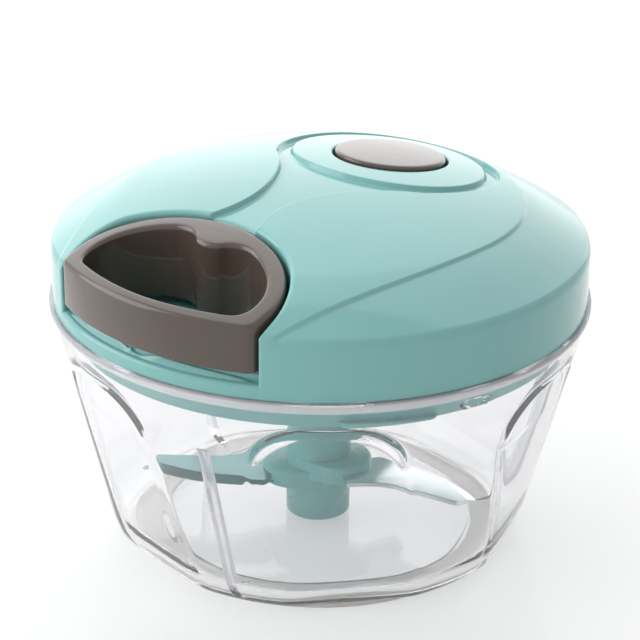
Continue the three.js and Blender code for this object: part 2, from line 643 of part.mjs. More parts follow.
function makeLidBase() {
  const { skirtThickness: thick } = plate;
  const bossRadius = rotor.hubRadius + 2 * (gap.seat + gap.running) + post.bossWall;
  const bossBottom = rotorTop - post.bossOverlap;
  const webEnd = skirtOuterAt(skirtTop) - thick / 2;
  const disc = solid(turned([
    [post.bore, skirtTop], [post.bore, postTop], [post.radius, postTop], [post.radius, plateTop],
    [plateRadius, plateTop], [plateRadius, skirtTop], [skirtOuterAt(skirtTop), skirtTop],
    [skirtOuterAt(skirtBottom), skirtBottom], [skirtOuterAt(skirtBottom) - thick, skirtBottom],
    [skirtOuterAt(skirtTop) - thick, skirtTop], [bossRadius, skirtTop],
    [bossRadius, bossBottom], [bossRadius - post.bossWall, bossBottom],
    [bossRadius - post.bossWall, skirtTop], [post.bore, skirtTop],
  ], detail.plate));
  const spoke = block(bossRadius - web.thickness, webEnd, -web.thickness / 2, web.thickness / 2,
    skirtTop - web.depth, skirtTop + web.thickness / 2);
  const webs = around(web.count, 360 / web.count / 2, (angle) => solid(spoke.clone().rotateZ(angle)));
  const caseScrewEnd = springCase.earThickness - caseScrew.length;
  const casePosts = atEars(caseScrew.postRadius, skirtTop + caseScrewEnd, plateTop);
  const caseHoles = atEars(caseScrew.radius + gap.seat, plateTop + caseScrewEnd, plateTop + overrun);
  const lidHole = rod(lidScrew.radius + gap.seat, skirtTop - overrun, plateTop + overrun, detail.screw)
    .translate(lidScrewPlace, 0, 0);
  const lidHoles = lidScrew.angles.map((angle) => solid(lidHole.clone().rotateZ(radians(angle))));
  const ramps = around(lug.count, 0, (angle) => rampRib(angle));
  return joined([disc, ...webs, ...casePosts, ...ramps]).subtract(joined([...caseHoles, ...lidHoles]));
}

// One bayonet rib on the skirt, its top rising away from the lug that it slides under.
function rampRib(turn) {
  const bottom = skirtBottom + ramp.rise;
  const loops = [];
  for (let k = 0; k <= ramp.stations; k++) {
    const share = k / ramp.stations;
    const angle = turn + radians(ramp.start + (ramp.end - ramp.start) * share);
    const top = skirtBottom + ramp.highRise + (ramp.lowRise - ramp.highRise) * share;
    const out = (r, z) => new THREE.Vector3(r * Math.cos(angle), r * Math.sin(angle), z);
    const inner = skirtOuterAt(bottom) - plate.skirtThickness / 2;
    loops.push([
      out(inner, bottom), out(skirtOuterAt(bottom) + ramp.reach, bottom),
      out(skirtOuterAt(top) + ramp.reach, top), out(inner, top),
    ]);
  }
  return solid(loft(loops, false));
}

function makeSeal() {
  const bottom = sealTop - seal.height;
  const inner = skirtOuterAt(sealTop) + gap.seat;
  return solid(ring(inner, innerWallAt(bottom) - gap.seat, bottom, sealTop, detail.plate));
}

// Handle

const handleTopAt = (r) => ringApex - (r * r) / (2 * handle.crownRadius);

// Where a ray from the middle of the ring meets a closed outline.
function ringPoint(outline, angle, centre) {
  const ray = new THREE.Vector2(Math.cos(angle), Math.sin(angle));
  for (let i = 0; i < outline.length; i++) {
    const a = outline[i].clone().sub(centre);
    const step = outline[(i + 1) % outline.length].clone().sub(outline[i]);
    const across = ray.cross(step);
    const far = a.cross(step) / across;
    const share = a.cross(ray) / across;
    if (far > 0 && share >= 0 && share < 1) return ray.clone().multiplyScalar(far).add(centre);
  }
  throw new Error("the outline does not go round the middle of the ring");
}

function handleOutline(halfWidth, backReach, frontRadius, boss) {
  const points = [];
  const steps = 2 * handle.stations;
  for (let k = 0; k <= steps; k++) {
    const angle = (Math.PI * k) / steps;
    const x = halfWidth * Math.cos(angle);
    const swell = Math.abs(x) < handle.bossHalf ? (1 + Math.cos((Math.PI * x) / handle.bossHalf)) / 2 : 0;
    points.push(new THREE.Vector2(x, ringCentre + backReach * Math.sin(angle) - boss * swell));
  }
  const corner = Math.asin(halfWidth / frontRadius);
  for (let k = 0; k <= handle.stations; k++) {
    const angle = -Math.PI / 2 - corner + (2 * corner * k) / handle.stations;
    points.push(new THREE.Vector2(frontRadius * Math.cos(angle), frontRadius * Math.sin(angle)));
  }
  return points;
}

function makeHandle() {
  const outer = handleOutline(handle.halfWidth, backReach, dome.radius, 0);
  const inner = handleOutline(handle.halfWidth - handle.wall, backReach - handle.wall,
    dome.radius - handle.frontWall, handle.bossReach);
  const centre = new THREE.Vector2(0, ringCentre);
  const bottom = ringBottom;
  const soften = handle.soft * (1 - Math.SQRT1_2);
  const at = (p, z) => new THREE.Vector3(p.x, p.y, z);
  const loops = [];
  for (let k = 0; k < handle.stations; k++) {
    const angle = Math.PI / 2 + (2 * Math.PI * k) / handle.stations;
    const [o, i] = [ringPoint(outer, angle, centre), ringPoint(inner, angle, centre)];
    const width = i.clone().sub(o);
    const inset = (length) => o.clone().addScaledVector(width, length / width.length());
    const top = (length) => handleTopAt(inset(length).length());
    const full = width.length();
    const [near, far] = [inset(soften), inset(full - soften)];
    loops.push([
      at(near, bottom), at(o, bottom + soften), at(o, top(0) - handle.soft), at(near, top(0) - soften),
      at(inset(handle.soft), top(handle.soft)), at(inset(full - handle.soft), top(full - handle.soft)),
      at(far, top(full) - soften), at(i, top(full) - handle.soft), at(i, bottom + soften), at(far, bottom),
    ]);
  }
  const chamberTop = cordHeight + knot.chamberRadius;
  const chamber = solid(rod(knot.chamberRadius, bottom - overrun, chamberTop, detail.screw)
    .translate(0, knotPlace, 0));
  const hole = solid(rod(cord.radius + gap.seat, knotPlace, notchBack, detail.screw)
    .rotateX(-Math.PI / 2).translate(0, 0, cordHeight));
  return solid(loft(loops, true)).subtract(chamber).subtract(hole);
}

function makeKnot() {
  return solid(new THREE.SphereGeometry(knot.radius, detail.screw, 6).translate(0, knotPlace, cordHeight));
}

// Drum, clutch and spring

function makeDrum() {
  const bore = post.radius + gap.seat;
  const shaftBore = shaft.radius + gap.running;
  const postSeat = postTop + gap.running;
  const hubBottomZ = plateTop + gap.seat + springCase.floor + gap.running;
  const body = solid(turned([
    [shaftBore, postSeat + drum.flange], [bore, postSeat + drum.flange / 2], [bore, hubBottomZ],
    [drum.hubRadius, hubBottomZ], [drum.hubRadius, drumBottom], [flangeRadius, drumBottom],
    [flangeRadius, webTop], [coreRadius, webTop], [coreRadius, channelTop],
    [flangeRadius, channelTop], [flangeRadius, drumTop], [drumInner, drumTop],
    [drumInner, webTop], [shaftBore, webTop], [shaftBore, postSeat + drum.flange],
  ], detail.drum));
  const teeth = new THREE.Shape();
  for (let i = 0; i < drum.teeth; i++) {
    const at = (radius, share) => {
      const angle = (2 * Math.PI * (i + share)) / drum.teeth;
      return [radius * Math.cos(angle), radius * Math.sin(angle)];
    };
    if (i === 0) teeth.moveTo(...at(drumInner - drum.toothDepth, 0));
    else teeth.lineTo(...at(drumInner - drum.toothDepth, 0));
    teeth.lineTo(...at(drumInner - gap.seat, drum.toothShare));
  }
  teeth.closePath();
  const toothBack = drumInner + drum.coreWall / 2;
  const toothFoot = webTop - drum.flange / 2;
  const rim = ring(drumInner - 2 * drum.toothDepth, toothBack, toothFoot, spiderTop, detail.drum);
  return body.add(solid(rim).subtract(solid(prism(teeth, webTop - drum.flange, drumTop))));
}

function makeSpider() {
  const tip = drumInner - drum.toothDepth - gap.running;
  const armStart = spider.hubRadius - spider.armWidth / 2;
  const hub = solid(rod(spider.hubRadius, spiderBottom, spiderTop, detail.small));
  const arms = around(spider.arms, 90, (turn) => {
    const shape = new THREE.Shape();
    const points = [];
    for (let k = 0; k <= spider.armSteps; k++) {
      const share = k / spider.armSteps;
      const angle = turn + radians(spider.armSweep * share);
      const radius = armStart + (tip - armStart) * share;
      points.push([radius * Math.cos(angle), radius * Math.sin(angle)]);
      const inside = radius - spider.armWidth * (1 - share / 2);
      points.unshift([inside * Math.cos(angle), inside * Math.sin(angle)]);
    }
    points.forEach(([x, y], i) => (i === 0 ? shape.moveTo(x, y) : shape.lineTo(x, y)));
    shape.closePath();
    return solid(prism(shape, spiderBottom, spiderTop));
  });
  const bore = solid(rod(shaft.radius + gap.seat, spiderBottom - overrun, spiderTop + overrun, shaft.sides));
  return joined([hub, ...arms]).subtract(bore);
}

function makeShaft() {
  const hex = solid(rod(shaft.radius, rotorTop - rotor.socketDepth + shaft.endGap, spiderTop, shaft.sides));
  const collarTop = skirtTop - gap.running;
  const collar = solid(rod(shaft.collarRadius, collarTop - shaft.collar, collarTop, detail.small));
  const pilotBottom = spiderTop - clutchScrew.length;
  const pilot = solid(rod(clutchScrew.radius + gap.seat, pilotBottom, spiderTop + overrun, detail.screw));
  return hex.add(collar).subtract(pilot);
}

function screw(size, seatHeight) {
  return turned([
    [0, seatHeight - size.length], [size.radius, seatHeight - size.length], [size.radius, seatHeight],
    [size.headRadius, seatHeight], [size.headRadius, seatHeight + size.head], [0, seatHeight + size.head],
  ], detail.screw);
}

function makeSpringCase() {
  const bottom = plateTop + gap.seat;
  const { wall, floor } = springCase;
  const cup = solid(turned([
    [drum.hubRadius, bottom], [caseRadius, bottom], [caseRadius, caseTop], [caseRadius - wall, caseTop],
    [caseRadius - wall, bottom + floor], [drum.hubRadius, bottom + floor], [drum.hubRadius, bottom],
  ], detail.drum));
  const ears = atEars(springCase.earRadius, bottom, bottom + springCase.earThickness);
  const outside = earPlace + springCase.earRadius + overrun;
  const keep = solid(ring(caseRadius - wall / 2, outside, bottom - overrun, caseTop, detail.drum));
  const holes = atEars(caseScrew.radius + gap.seat, bottom - overrun, bottom + overrun);
  return cup.add(joined(ears).intersect(keep)).subtract(joined(holes));
}

function makeSpring() {
  const inner = drum.hubRadius + gap.seat;
  const outer = caseRadius - springCase.wall - gap.seat - spring.strip;
  const steps = Math.round(spring.turns * spring.stepsPerTurn);
  const shape = new THREE.Shape();
  const side = (added, k) => {
    const angle = (2 * Math.PI * spring.turns * k) / steps;
    const radius = inner + ((outer - inner) * k) / steps + added;
    return [radius * Math.cos(angle), radius * Math.sin(angle)];
  };
  shape.moveTo(...side(0, 0));
  for (let k = 1; k <= steps; k++) shape.lineTo(...side(0, k));
  for (let k = steps; k >= 0; k--) shape.lineTo(...side(spring.strip, k));
  shape.closePath();
  const bottom = plateTop + gap.seat + springCase.floor + gap.seat;
  return solid(prism(shape, bottom, caseTop - gap.shaft));
}

// Cord

function makeWinding() {
  const helix = new Helix(windingRadius, cordHeight, leadAngle, cord.pitch, -cord.turns);
  return solid(strand(helix, cord.radius, Math.round(cord.turns * cord.stepsPerTurn)));
}

function makeEntry() {
  const [x, y] = [leadRadius * Math.cos(leadAngle), leadRadius * Math.sin(leadAngle)];
  const start = new THREE.Vector3(x, y, cordHeight);
  const mouth = new THREE.Vector3(0, guideMouth, cordHeight);
  const along = mouth.clone().sub(start).normalize();
  const end = mouth.addScaledVector(along, -cord.radius - gap.seat);
  return solid(strand(new THREE.LineCurve3(start, end), cord.radius, 2));
}

function makeLead() {
  const from = new THREE.Vector3(0, guideMouth - gap.seat, cordHeight);
  const to = new THREE.Vector3(0, knotPlace + knot.radius + gap.seat, cordHeight);
  return solid(strand(new THREE.LineCurve3(from, to), cord.radius, 2));
}

function makeGuide() {
  const flangeEnd = guide.flange - gap.seat;
  const end = guide.flange + notch.wall;
  const tube = turned([
    [guide.boreRadius, 0], [guide.flangeRadius, 0], [guide.flangeRadius, flangeEnd], [guide.radius, flangeEnd],
    [guide.radius, end], [guide.boreRadius, end], [guide.boreRadius, 0],
  ], detail.small);
  return solid(tube.rotateX(Math.PI / 2).translate(0, guideMouth, cordHeight));
}

// Button

function makeButton() {
  const top = lidProfile(lid.creaseStep + button.proud);
  const crown = solid(turned([...top, [dome.radius, rimTop], [0, rimTop]], detail.lid));
  const cap = rod(button.radius, capBottom, dome.apex + overrun, detail.drum).translate(0, buttonPlace, 0);
  const stemTop = capBottom + button.proud;
  const stem = rod(button.stemRadius, cupFloor - button.stemReach, stemTop, detail.small)
    .translate(0, buttonPlace, 0);
  return solid(cap).intersect(crown).add(solid(stem));
}

function makeButtonSpring() {
  const bottom = cupFloor + button.floor + gap.seat + buttonSpring.wire;
  const rise = capBottom - gap.seat - buttonSpring.wire - bottom;
  const helix = new Helix(buttonSpring.radius, bottom, 0, rise / buttonSpring.turns, buttonSpring.turns);
  return solid(strand(helix, buttonSpring.wire, buttonSpring.turns * buttonSpring.stepsPerTurn)
    .translate(0, buttonPlace, 0));
}

// Assembly

addPart("bowl", makeBowl(), clear);
addPart("foot_ring", makeFootRing(), rubber);
addPart("pivot_pin", makePin(), steel);
addPart("blade_hub", makeHub(), mint);
["blade_lower", "blade_middle", "blade_upper"].forEach((name, i) => addPart(name, makeBlade(i), steel));
addPart("lid_shell", makeLidShell(), mint);
addPart("lid_base", makeLidBase(), mint);
addPart("lid_seal", makeSeal(), white);
addPart("handle", makeHandle(), taupe);
addPart("cord_knot", makeKnot(), cordGrey);
addPart("cord_lead", makeLead(), cordGrey);
addPart("cord_entry", makeEntry(), cordGrey);
addPart("cord_winding", makeWinding(), cordGrey);
addPart("cord_guide", makeGuide(), white);
addPart("cord_drum", makeDrum(), white);
addPart("clutch_spider", makeSpider(), steel);
addPart("clutch_screw", solid(screw(clutchScrew, spiderTop + gap.seat)), steel);
addPart("drive_shaft", makeShaft(), steel);
addPart("spring_case", makeSpringCase(), white);
addPart("recoil_spring", makeSpring(), steel);
addPart("button", makeButton(), taupe);
addPart("button_spring", makeButtonSpring(), steel);
lidScrew.angles.forEach((angle, i) => {
  const geometry = screw(lidScrew, 0).rotateX(Math.PI).translate(lidScrewPlace, 0, skirtTop - gap.seat)
    .rotateZ(radians(angle));
  addPart(`lid_screw_${i + 1}`, solid(geometry), steel);
});
around(springCase.earCount, springCase.firstAngle, (angle, i) => {
  const seat = plateTop + gap.seat + springCase.earThickness + gap.seat;
  addPart(`case_screw_${i + 1}`, solid(screw(caseScrew, seat).translate(earPlace, 0, 0).rotateZ(angle)), steel);
});

export default chopper;
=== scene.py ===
"""A hand-pulled food chopper: a clear fluted bowl, a rotor with blades, and a lid with a handle and a button.

The fields of the sub-assemblies are in millimetres and degrees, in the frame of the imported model, and lengths
turn into metres where a mesh is made. The studio's places are in metres.
"""
import logging
import math
from dataclasses import dataclass, field
from enum import Enum

import bmesh
import bpy
import numpy as np
from mathutils import Matrix, Vector
from mathutils.geometry import delaunay_2d_cdt


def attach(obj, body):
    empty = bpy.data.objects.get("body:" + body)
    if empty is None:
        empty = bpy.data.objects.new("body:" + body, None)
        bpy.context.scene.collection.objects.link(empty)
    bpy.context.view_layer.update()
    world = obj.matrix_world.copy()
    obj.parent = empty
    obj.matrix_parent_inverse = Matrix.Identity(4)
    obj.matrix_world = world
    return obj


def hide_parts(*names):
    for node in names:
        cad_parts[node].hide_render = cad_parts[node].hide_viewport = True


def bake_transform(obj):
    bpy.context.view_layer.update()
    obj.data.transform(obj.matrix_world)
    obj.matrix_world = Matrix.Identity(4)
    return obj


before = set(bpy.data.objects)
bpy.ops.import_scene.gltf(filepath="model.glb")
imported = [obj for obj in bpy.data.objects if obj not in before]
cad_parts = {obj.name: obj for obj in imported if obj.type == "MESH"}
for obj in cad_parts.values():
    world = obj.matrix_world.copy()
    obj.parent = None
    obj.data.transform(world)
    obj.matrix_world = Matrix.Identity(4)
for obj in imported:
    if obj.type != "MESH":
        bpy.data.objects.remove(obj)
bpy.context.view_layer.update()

log = logging.getLogger("chopper")
MM = 0.001
# The gap at a seat, how many points are worked on at once, and stand-ins for endless and for zero
SEAT = 0.3
CHUNK = 4000
FAR = 1e9
TINY = 1e-12
Triple = tuple[float, float, float]


class Body(Enum):
    """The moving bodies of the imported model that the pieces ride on."""

    BOWL = "bowl"
    ROTOR = "rotor"
    SEAL = "seal"
    LID = "lid"
    HANDLE = "handle"
    DRUM = "drum"
    BUTTON = "button"


# Plain geometry


def smooth_step(x: np.ndarray) -> np.ndarray:
    """Rises smoothly from 0 to 1 as x goes from 0 to 1."""
    t = np.clip(x, 0.0, 1.0)
    return t * t * (3.0 - 2.0 * t)


def bezier(*points: tuple[float, float], steps: int = 16) -> np.ndarray:
    """A quadratic or cubic curve through its first and last point.

    Args:
        points: Three or four control points.
        steps: How many pieces the curve is cut into.

    Returns:
        An array of steps + 1 points.
    """
    t = np.linspace(0.0, 1.0, steps + 1)[:, None]
    p = [np.asarray(q, float) for q in points]
    if len(p) == 3:
        return (1 - t) ** 2 * p[0] + 2 * t * (1 - t) * p[1] + t**2 * p[2]
    return (1 - t) ** 3 * p[0] + 3 * t * (1 - t) ** 2 * p[1] + 3 * t**2 * (1 - t) * p[2] + t**3 * p[3]


def arc(centre: tuple[float, float], radius: float, start: float, end: float, steps: int) -> np.ndarray:
    """Points on a circle, the angles in degrees."""
    a = np.radians(np.linspace(start, end, steps + 1))
    return np.stack([centre[0] + radius * np.cos(a), centre[1] + radius * np.sin(a)], 1)


def resampled(line: np.ndarray, spacing: float, closed: bool) -> np.ndarray:
    """The same line with its points evenly spaced.

    Args:
        line: Points of the line.
        spacing: The wanted distance between neighbours.
        closed: True if the last point joins the first.

    Returns:
        The new points, without a repeated end on a closed line.
    """
    ends = np.vstack([line, line[:1]]) if closed else line
    step = np.linalg.norm(np.diff(ends, axis=0), axis=1)
    ends, step = ends[np.r_[True, step > 1e-6]], step[step > 1e-6]
    along = np.r_[0.0, np.cumsum(step)]
    count = max(3, int(round(along[-1] / spacing)))
    at = np.linspace(0.0, along[-1], count + 1)
    out = np.stack([np.interp(at, along, ends[:, k]) for k in range(ends.shape[1])], 1)
    return out[:-1] if closed else out


def cornered(line: np.ndarray, reach: float) -> np.ndarray:
    """Rounds every sharp corner of a closed line of points.

    Args:
        line: Points of the line, its corners among them.
        reach: How far from the corner the rounding starts.

    Returns:
        The line with a short curve in place of each such corner.
    """
    side, span, least = 4, 2, math.radians(25.0)
    fine = resampled(line, reach / side, True)
    count = len(fine)
    out = fine.copy()
    before, after = fine - np.roll(fine, span, 0), np.roll(fine, -span, 0) - fine
    cross = before[:, 0] * after[:, 1] - before[:, 1] * after[:, 0]
    turn = np.abs(np.arctan2(cross, (before * after).sum(1)))
    for i in range(count):
        if turn[i] <= least or turn[i] < max(turn[i - 1], turn[(i + 1) % count]):
            continue
        a, b = fine[(i - side) % count], fine[(i + side) % count]
        curve = bezier(tuple(a), tuple(fine[i]), tuple(b), steps=2 * side)
        for k, point in enumerate(curve):
            out[(i - side + k) % count] = point
    return out


def turned_flat(points: np.ndarray, turn: float) -> np.ndarray:
    """Points turned about the upright axis, the angle in radians. A height is kept.

    Args:
        points: Points in the plan or in space.
        turn: The angle.

    Returns:
        The turned points.
    """
    out = points.copy()
    out[..., 0] = points[..., 0] * math.cos(turn) - points[..., 1] * math.sin(turn)
    out[..., 1] = points[..., 0] * math.sin(turn) + points[..., 1] * math.cos(turn)
    return out


def offset_line(line: np.ndarray, distance: float) -> np.ndarray:
    """A closed line moved sideways, to its left for a positive distance.

    Args:
        line: Points of the line.
        distance: How far it moves.

    Returns:
        The moved points.
    """
    tangent = np.roll(line, -1, 0) - np.roll(line, 1, 0)
    tangent /= np.linalg.norm(tangent, axis=1)[:, None]
    return line + distance * np.stack([-tangent[:, 1], tangent[:, 0]], 1)


def distance_to(points: np.ndarray, line: np.ndarray, closed: bool = True) -> np.ndarray:
    """How far each point lies from a line.

    Args:
        points: The points to measure.
        line: Points of the line.
        closed: True if the last point joins the first.

    Returns:
        One distance for each point.
    """
    a = line if closed else line[:-1]
    b = np.roll(line, -1, 0) if closed else line[1:]
    best = np.full(len(points), FAR)
    for start in range(0, len(points), CHUNK):
        p = points[start:start + CHUNK, None, :]
        d = b - a
        t = np.clip(((p - a) * d).sum(2) / np.maximum((d * d).sum(1), TINY), 0, 1)
        near = a + t[..., None] * d
        best[start:start + CHUNK] = np.sqrt(((p - near) ** 2).sum(2)).min(1)
    return best


def inside(points: np.ndarray, line: np.ndarray) -> np.ndarray:
    """True for each point that lies within a closed line.

    Args:
        points: The points to test.
        line: Points of the line.

    Returns:
        One truth value for each point.
    """
    a, b = line, np.roll(line, -1, 0)
    result = np.zeros(len(points), bool)
    for start in range(0, len(points), CHUNK):
        p = points[start:start + CHUNK, None, :]
        spans = (a[:, 1] > p[..., 1]) != (b[:, 1] > p[..., 1])
        rise = np.where(np.abs(b[:, 1] - a[:, 1]) < TINY, TINY, b[:, 1] - a[:, 1])
        cross = a[:, 0] + (p[..., 1] - a[:, 1]) * (b[:, 0] - a[:, 0]) / rise
        result[start:start + CHUNK] = ((spans & (p[..., 0] < cross)).sum(1) % 2) == 1
    return result


def depth_inside(points: np.ndarray, line: np.ndarray) -> np.ndarray:
    """The distance to a closed line, above 0 inside it and below 0 outside."""
    return np.where(inside(points, line), 1.0, -1.0) * distance_to(points, line)


def from_third(angle: np.ndarray | float) -> np.ndarray | float:
    """The angle to the nearest of three equal directions, the first at 0, in radians."""
    third = 2 * math.pi / 3
    return (angle + third / 2) % third - third / 2


@dataclass
class MeshMaker:
    """Gathers the faces of one piece and turns them into a Blender object."""

    name: str
    points: list[np.ndarray] = field(default_factory=list)
    faces: list[tuple[int, ...]] = field(default_factory=list)
    count: int = 0

    def add(self, points: np.ndarray, faces: list[tuple[int, ...]]) -> None:
        """Adds points and the faces between them.

        Args:
            points: The points.
            faces: The faces, each by the places of its points among these.
        """
        self.points.append(np.asarray(points, float).reshape(-1, 3))
        self.faces += [tuple(i + self.count for i in f) for f in faces]
        self.count += len(self.points[-1])

    def grid(self, rows: np.ndarray, round_rows: bool = False, round_columns: bool = True) -> None:
        """Adds a net of quads.

        Args:
            rows: An array of rows by columns by three.
            round_rows: True if the last row joins the first.
            round_columns: True if the last column joins the first.
        """
        n, m = rows.shape[:2]
        faces = []
        for i in range(n if round_rows else n - 1):
            for j in range(m if round_columns else m - 1):
                k, h = (i + 1) % n, (j + 1) % m
                faces.append((i * m + j, k * m + j, k * m + h, i * m + h))
        self.add(rows.reshape(-1, 3), faces)

    def turned(self, profile: np.ndarray, count: int, centre: tuple[float, float] = (0.0, 0.0)) -> None:
        """Adds a profile of radii and heights, turned about an upright axis.

        Args:
            profile: Pairs of a radius and a height.
            count: How many columns the turn has.
            centre: Where the axis stands.
        """
        a = np.linspace(0, 2 * np.pi, count, endpoint=False)
        p = np.asarray(profile, float)
        x = centre[0] + p[:, :1] * np.cos(a)
        y = centre[1] + p[:, :1] * np.sin(a)
        self.grid(np.stack([x, y, np.repeat(p[:, 1:2], count, 1)], 2))

    def tube(self, path: np.ndarray, radius: float | np.ndarray, sides: int = 16) -> None:
        """Adds a round strand along a path, with closed ends.

        Args:
            path: Points along the middle of the strand.
            radius: One radius, or one for each point.
            sides: How many sides the strand has.
        """
        tangent = np.gradient(path, axis=0)
        tangent /= np.linalg.norm(tangent, axis=1)[:, None]
        up = np.array([0.0, 0.0, 1.0]) if abs(tangent[0][2]) < 0.9 else np.array([1.0, 0.0, 0.0])
        side = np.cross(tangent, up)
        side /= np.linalg.norm(side, axis=1)[:, None]
        top = np.cross(side, tangent)
        a = np.linspace(0, 2 * np.pi, sides, endpoint=False)
        r = np.broadcast_to(np.asarray(radius, float), (len(path),))[:, None, None]
        round_way = np.cos(a)[None, :, None] * side[:, None] + np.sin(a)[None, :, None] * top[:, None]
        self.capped(path[:, None] + r * round_way)

    def capped(self, rows: np.ndarray) -> None:
        """Adds a net of closed rings, with a flat face over its first and its last ring.

        Args:
            rows: An array of rings by columns by three.
        """
        self.grid(rows)
        ring = list(range(rows.shape[1]))
        self.add(rows[0], [tuple(reversed(ring))])
        self.add(rows[-1], [tuple(ring)])

    def made(self, finish: "Finish", sharp: float = 40.0, weld: float = 1e-4) -> bpy.types.Object:
        """Makes the object.

        Args:
            finish: What the piece is made of.
            sharp: Edges that bend by more than this many degrees stay sharp.
            weld: Points closer than this many millimetres are joined.

        Returns:
            The new object, linked to the scene.
        """
        mesh = bpy.data.meshes.new(self.name)
        points = np.vstack(self.points)
        mesh.from_pydata((points * MM).tolist(), [], self.faces)
        obj = bpy.data.objects.new(self.name, mesh)
        bpy.context.scene.collection.objects.link(obj)
        work = bmesh.new()
        work.from_mesh(mesh)
        bmesh.ops.remove_doubles(work, verts=work.verts, dist=weld * MM)
        bmesh.ops.dissolve_degenerate(work, edges=work.edges, dist=1e-8)
        bmesh.ops.recalc_face_normals(work, faces=work.faces)
        work.to_mesh(mesh)
        work.free()
        mesh.polygons.foreach_set("use_smooth", [True] * len(mesh.polygons))
        mesh.set_sharp_from_angle(angle=math.radians(sharp))
        mesh.materials.append(finish.material())
        return obj


def placed(obj: bpy.types.Object, body: Body, slot: str, *nodes: str) -> bpy.types.Object:
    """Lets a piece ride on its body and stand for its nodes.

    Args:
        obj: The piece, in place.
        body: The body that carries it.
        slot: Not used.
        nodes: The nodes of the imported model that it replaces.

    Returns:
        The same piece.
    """
    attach(obj, body.value)
    if nodes:
        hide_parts(*nodes)
    log.info("%s rides on %s and replaces %s", obj.name, body.value, ", ".join(nodes) or "nothing")
    return obj


def stretched(
    obj: bpy.types.Object, near: Body, far: Body, node: str
) -> bpy.types.Object:
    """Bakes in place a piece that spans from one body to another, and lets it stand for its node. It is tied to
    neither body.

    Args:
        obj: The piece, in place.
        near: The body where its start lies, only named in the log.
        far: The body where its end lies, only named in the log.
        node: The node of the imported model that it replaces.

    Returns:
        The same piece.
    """
    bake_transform(obj)
    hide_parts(node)
    log.info("%s reaches from %s to %s and replaces %s", obj.name, near.value, far.value, node)
    return obj


# Finishes


class NodeTree:
    """A short way to write the nodes of one material."""

    def __init__(self, name: str) -> None:
        """Starts an empty material with that name.

        Args:
            name: The name of the material.
        """
        self.material = bpy.data.materials.new(name)
        self.material.use_nodes = True
        self.tree = self.material.node_tree
        self.shader = self.tree.nodes["Principled BSDF"]

    def node(self, kind: str, **values: object) -> bpy.types.Node:
        """Adds a node.

        Args:
            kind: The node's type.
            values: Its properties, and its inputs by their names with spaces written as underscores.

        Returns:
            The new node.
        """
        made = self.tree.nodes.new(kind)
        for key, value in values.items():
            name = key.replace("_", " ")
            if name in made.inputs:
                made.inputs[name].default_value = value
            else:
                setattr(made, key, value)
        return made

    def link(self, source: bpy.types.NodeSocket, target: bpy.types.NodeSocket) -> None:
        """Joins an output to an input."""
        self.tree.links.new(source, target)

    def place(self, stretch: Triple = (1, 1, 1)) -> bpy.types.NodeSocket:
        """The object's own coordinates, stretched.

        Args:
            stretch: The scale along each axis.

        Returns:
            The stretched coordinates.
        """
        where = self.node("ShaderNodeTexCoord")
        scale = self.node("ShaderNodeMapping", Scale=stretch)
        self.link(where.outputs["Object"], scale.inputs["Vector"])
        return scale.outputs["Vector"]

    def noise(self, scale: float, detail: float, stretch: Triple = (1, 1, 1)) -> bpy.types.NodeSocket:
        """A soft random pattern, its scale in waves to the metre.

        Args:
            scale: Waves to the metre.
            detail: How many finer layers it has.
            stretch: The scale along each axis.

        Returns:
            A value from 0 to 1.
        """
        made = self.node("ShaderNodeTexNoise", Scale=scale, Detail=detail)
        self.link(self.place(stretch), made.inputs["Vector"])
        return made.outputs["Fac"]

    def between(self, value: bpy.types.NodeSocket, low: float, high: float) -> bpy.types.NodeSocket:
        """Spreads a pattern's middle range from low to high.

        Args:
            value: The pattern.
            low: Where its middle range starts.
            high: Where its middle range ends.

        Returns:
            The spread value.
        """
        made = self.node("ShaderNodeMapRange")
        made.inputs["From Min"].default_value, made.inputs["From Max"].default_value = 0.3, 0.7
        made.inputs["To Min"].default_value, made.inputs["To Max"].default_value = low, high
        self.link(value, made.inputs["Value"])
        return made.outputs["Result"]

    def blend(self, share: bpy.types.NodeSocket, first: tuple, second: tuple) -> bpy.types.NodeSocket:
        """A colour between two, by a share from 0 to 1.

        Args:
            share: The share of the second colour.
            first: The colour at 0.
            second: The colour at 1.

        Returns:
            The mixed colour.
        """
        made = self.node("ShaderNodeMix", data_type="RGBA")
        made.inputs[6].default_value, made.inputs[7].default_value = (*first, 1), (*second, 1)
        self.link(share, made.inputs[0])
        return made.outputs[2]

    def tone(self, share: bpy.types.NodeSocket, colour: Triple, spread: float) -> bpy.types.NodeSocket:
        """A colour that varies by a spread to either side."""
        return self.blend(share, shaded(colour, 1 - spread), shaded(colour, 1 + spread))

    def bump(self, height: bpy.types.NodeSocket, strength: float, depth: float) -> None:
        """Lets a pattern raise the surface, its depth in millimetres.

        Args:
            height: The pattern.
            strength: How strongly it shows, from 0 to 1.
            depth: How deep it is.
        """
        made = self.node("ShaderNodeBump", Strength=strength, Distance=depth * MM)
        self.link(height, made.inputs["Height"])
        self.link(made.outputs["Normal"], self.shader.inputs["Normal"])


def linear(red: int, green: int, blue: int) -> Triple:
    """A screen colour from 0 to 255 as a linear one.

    Args:
        red: The red channel.
        green: The green channel.
        blue: The blue channel.

    Returns:
        The three channels from 0 to 1.
    """
    def one(value: float) -> float:
        """One channel, from 0 to 1."""
        return value / 12.92 if value <= 0.04045 else ((value + 0.055) / 1.055) ** 2.4

    return one(red / 255), one(green / 255), one(blue / 255)


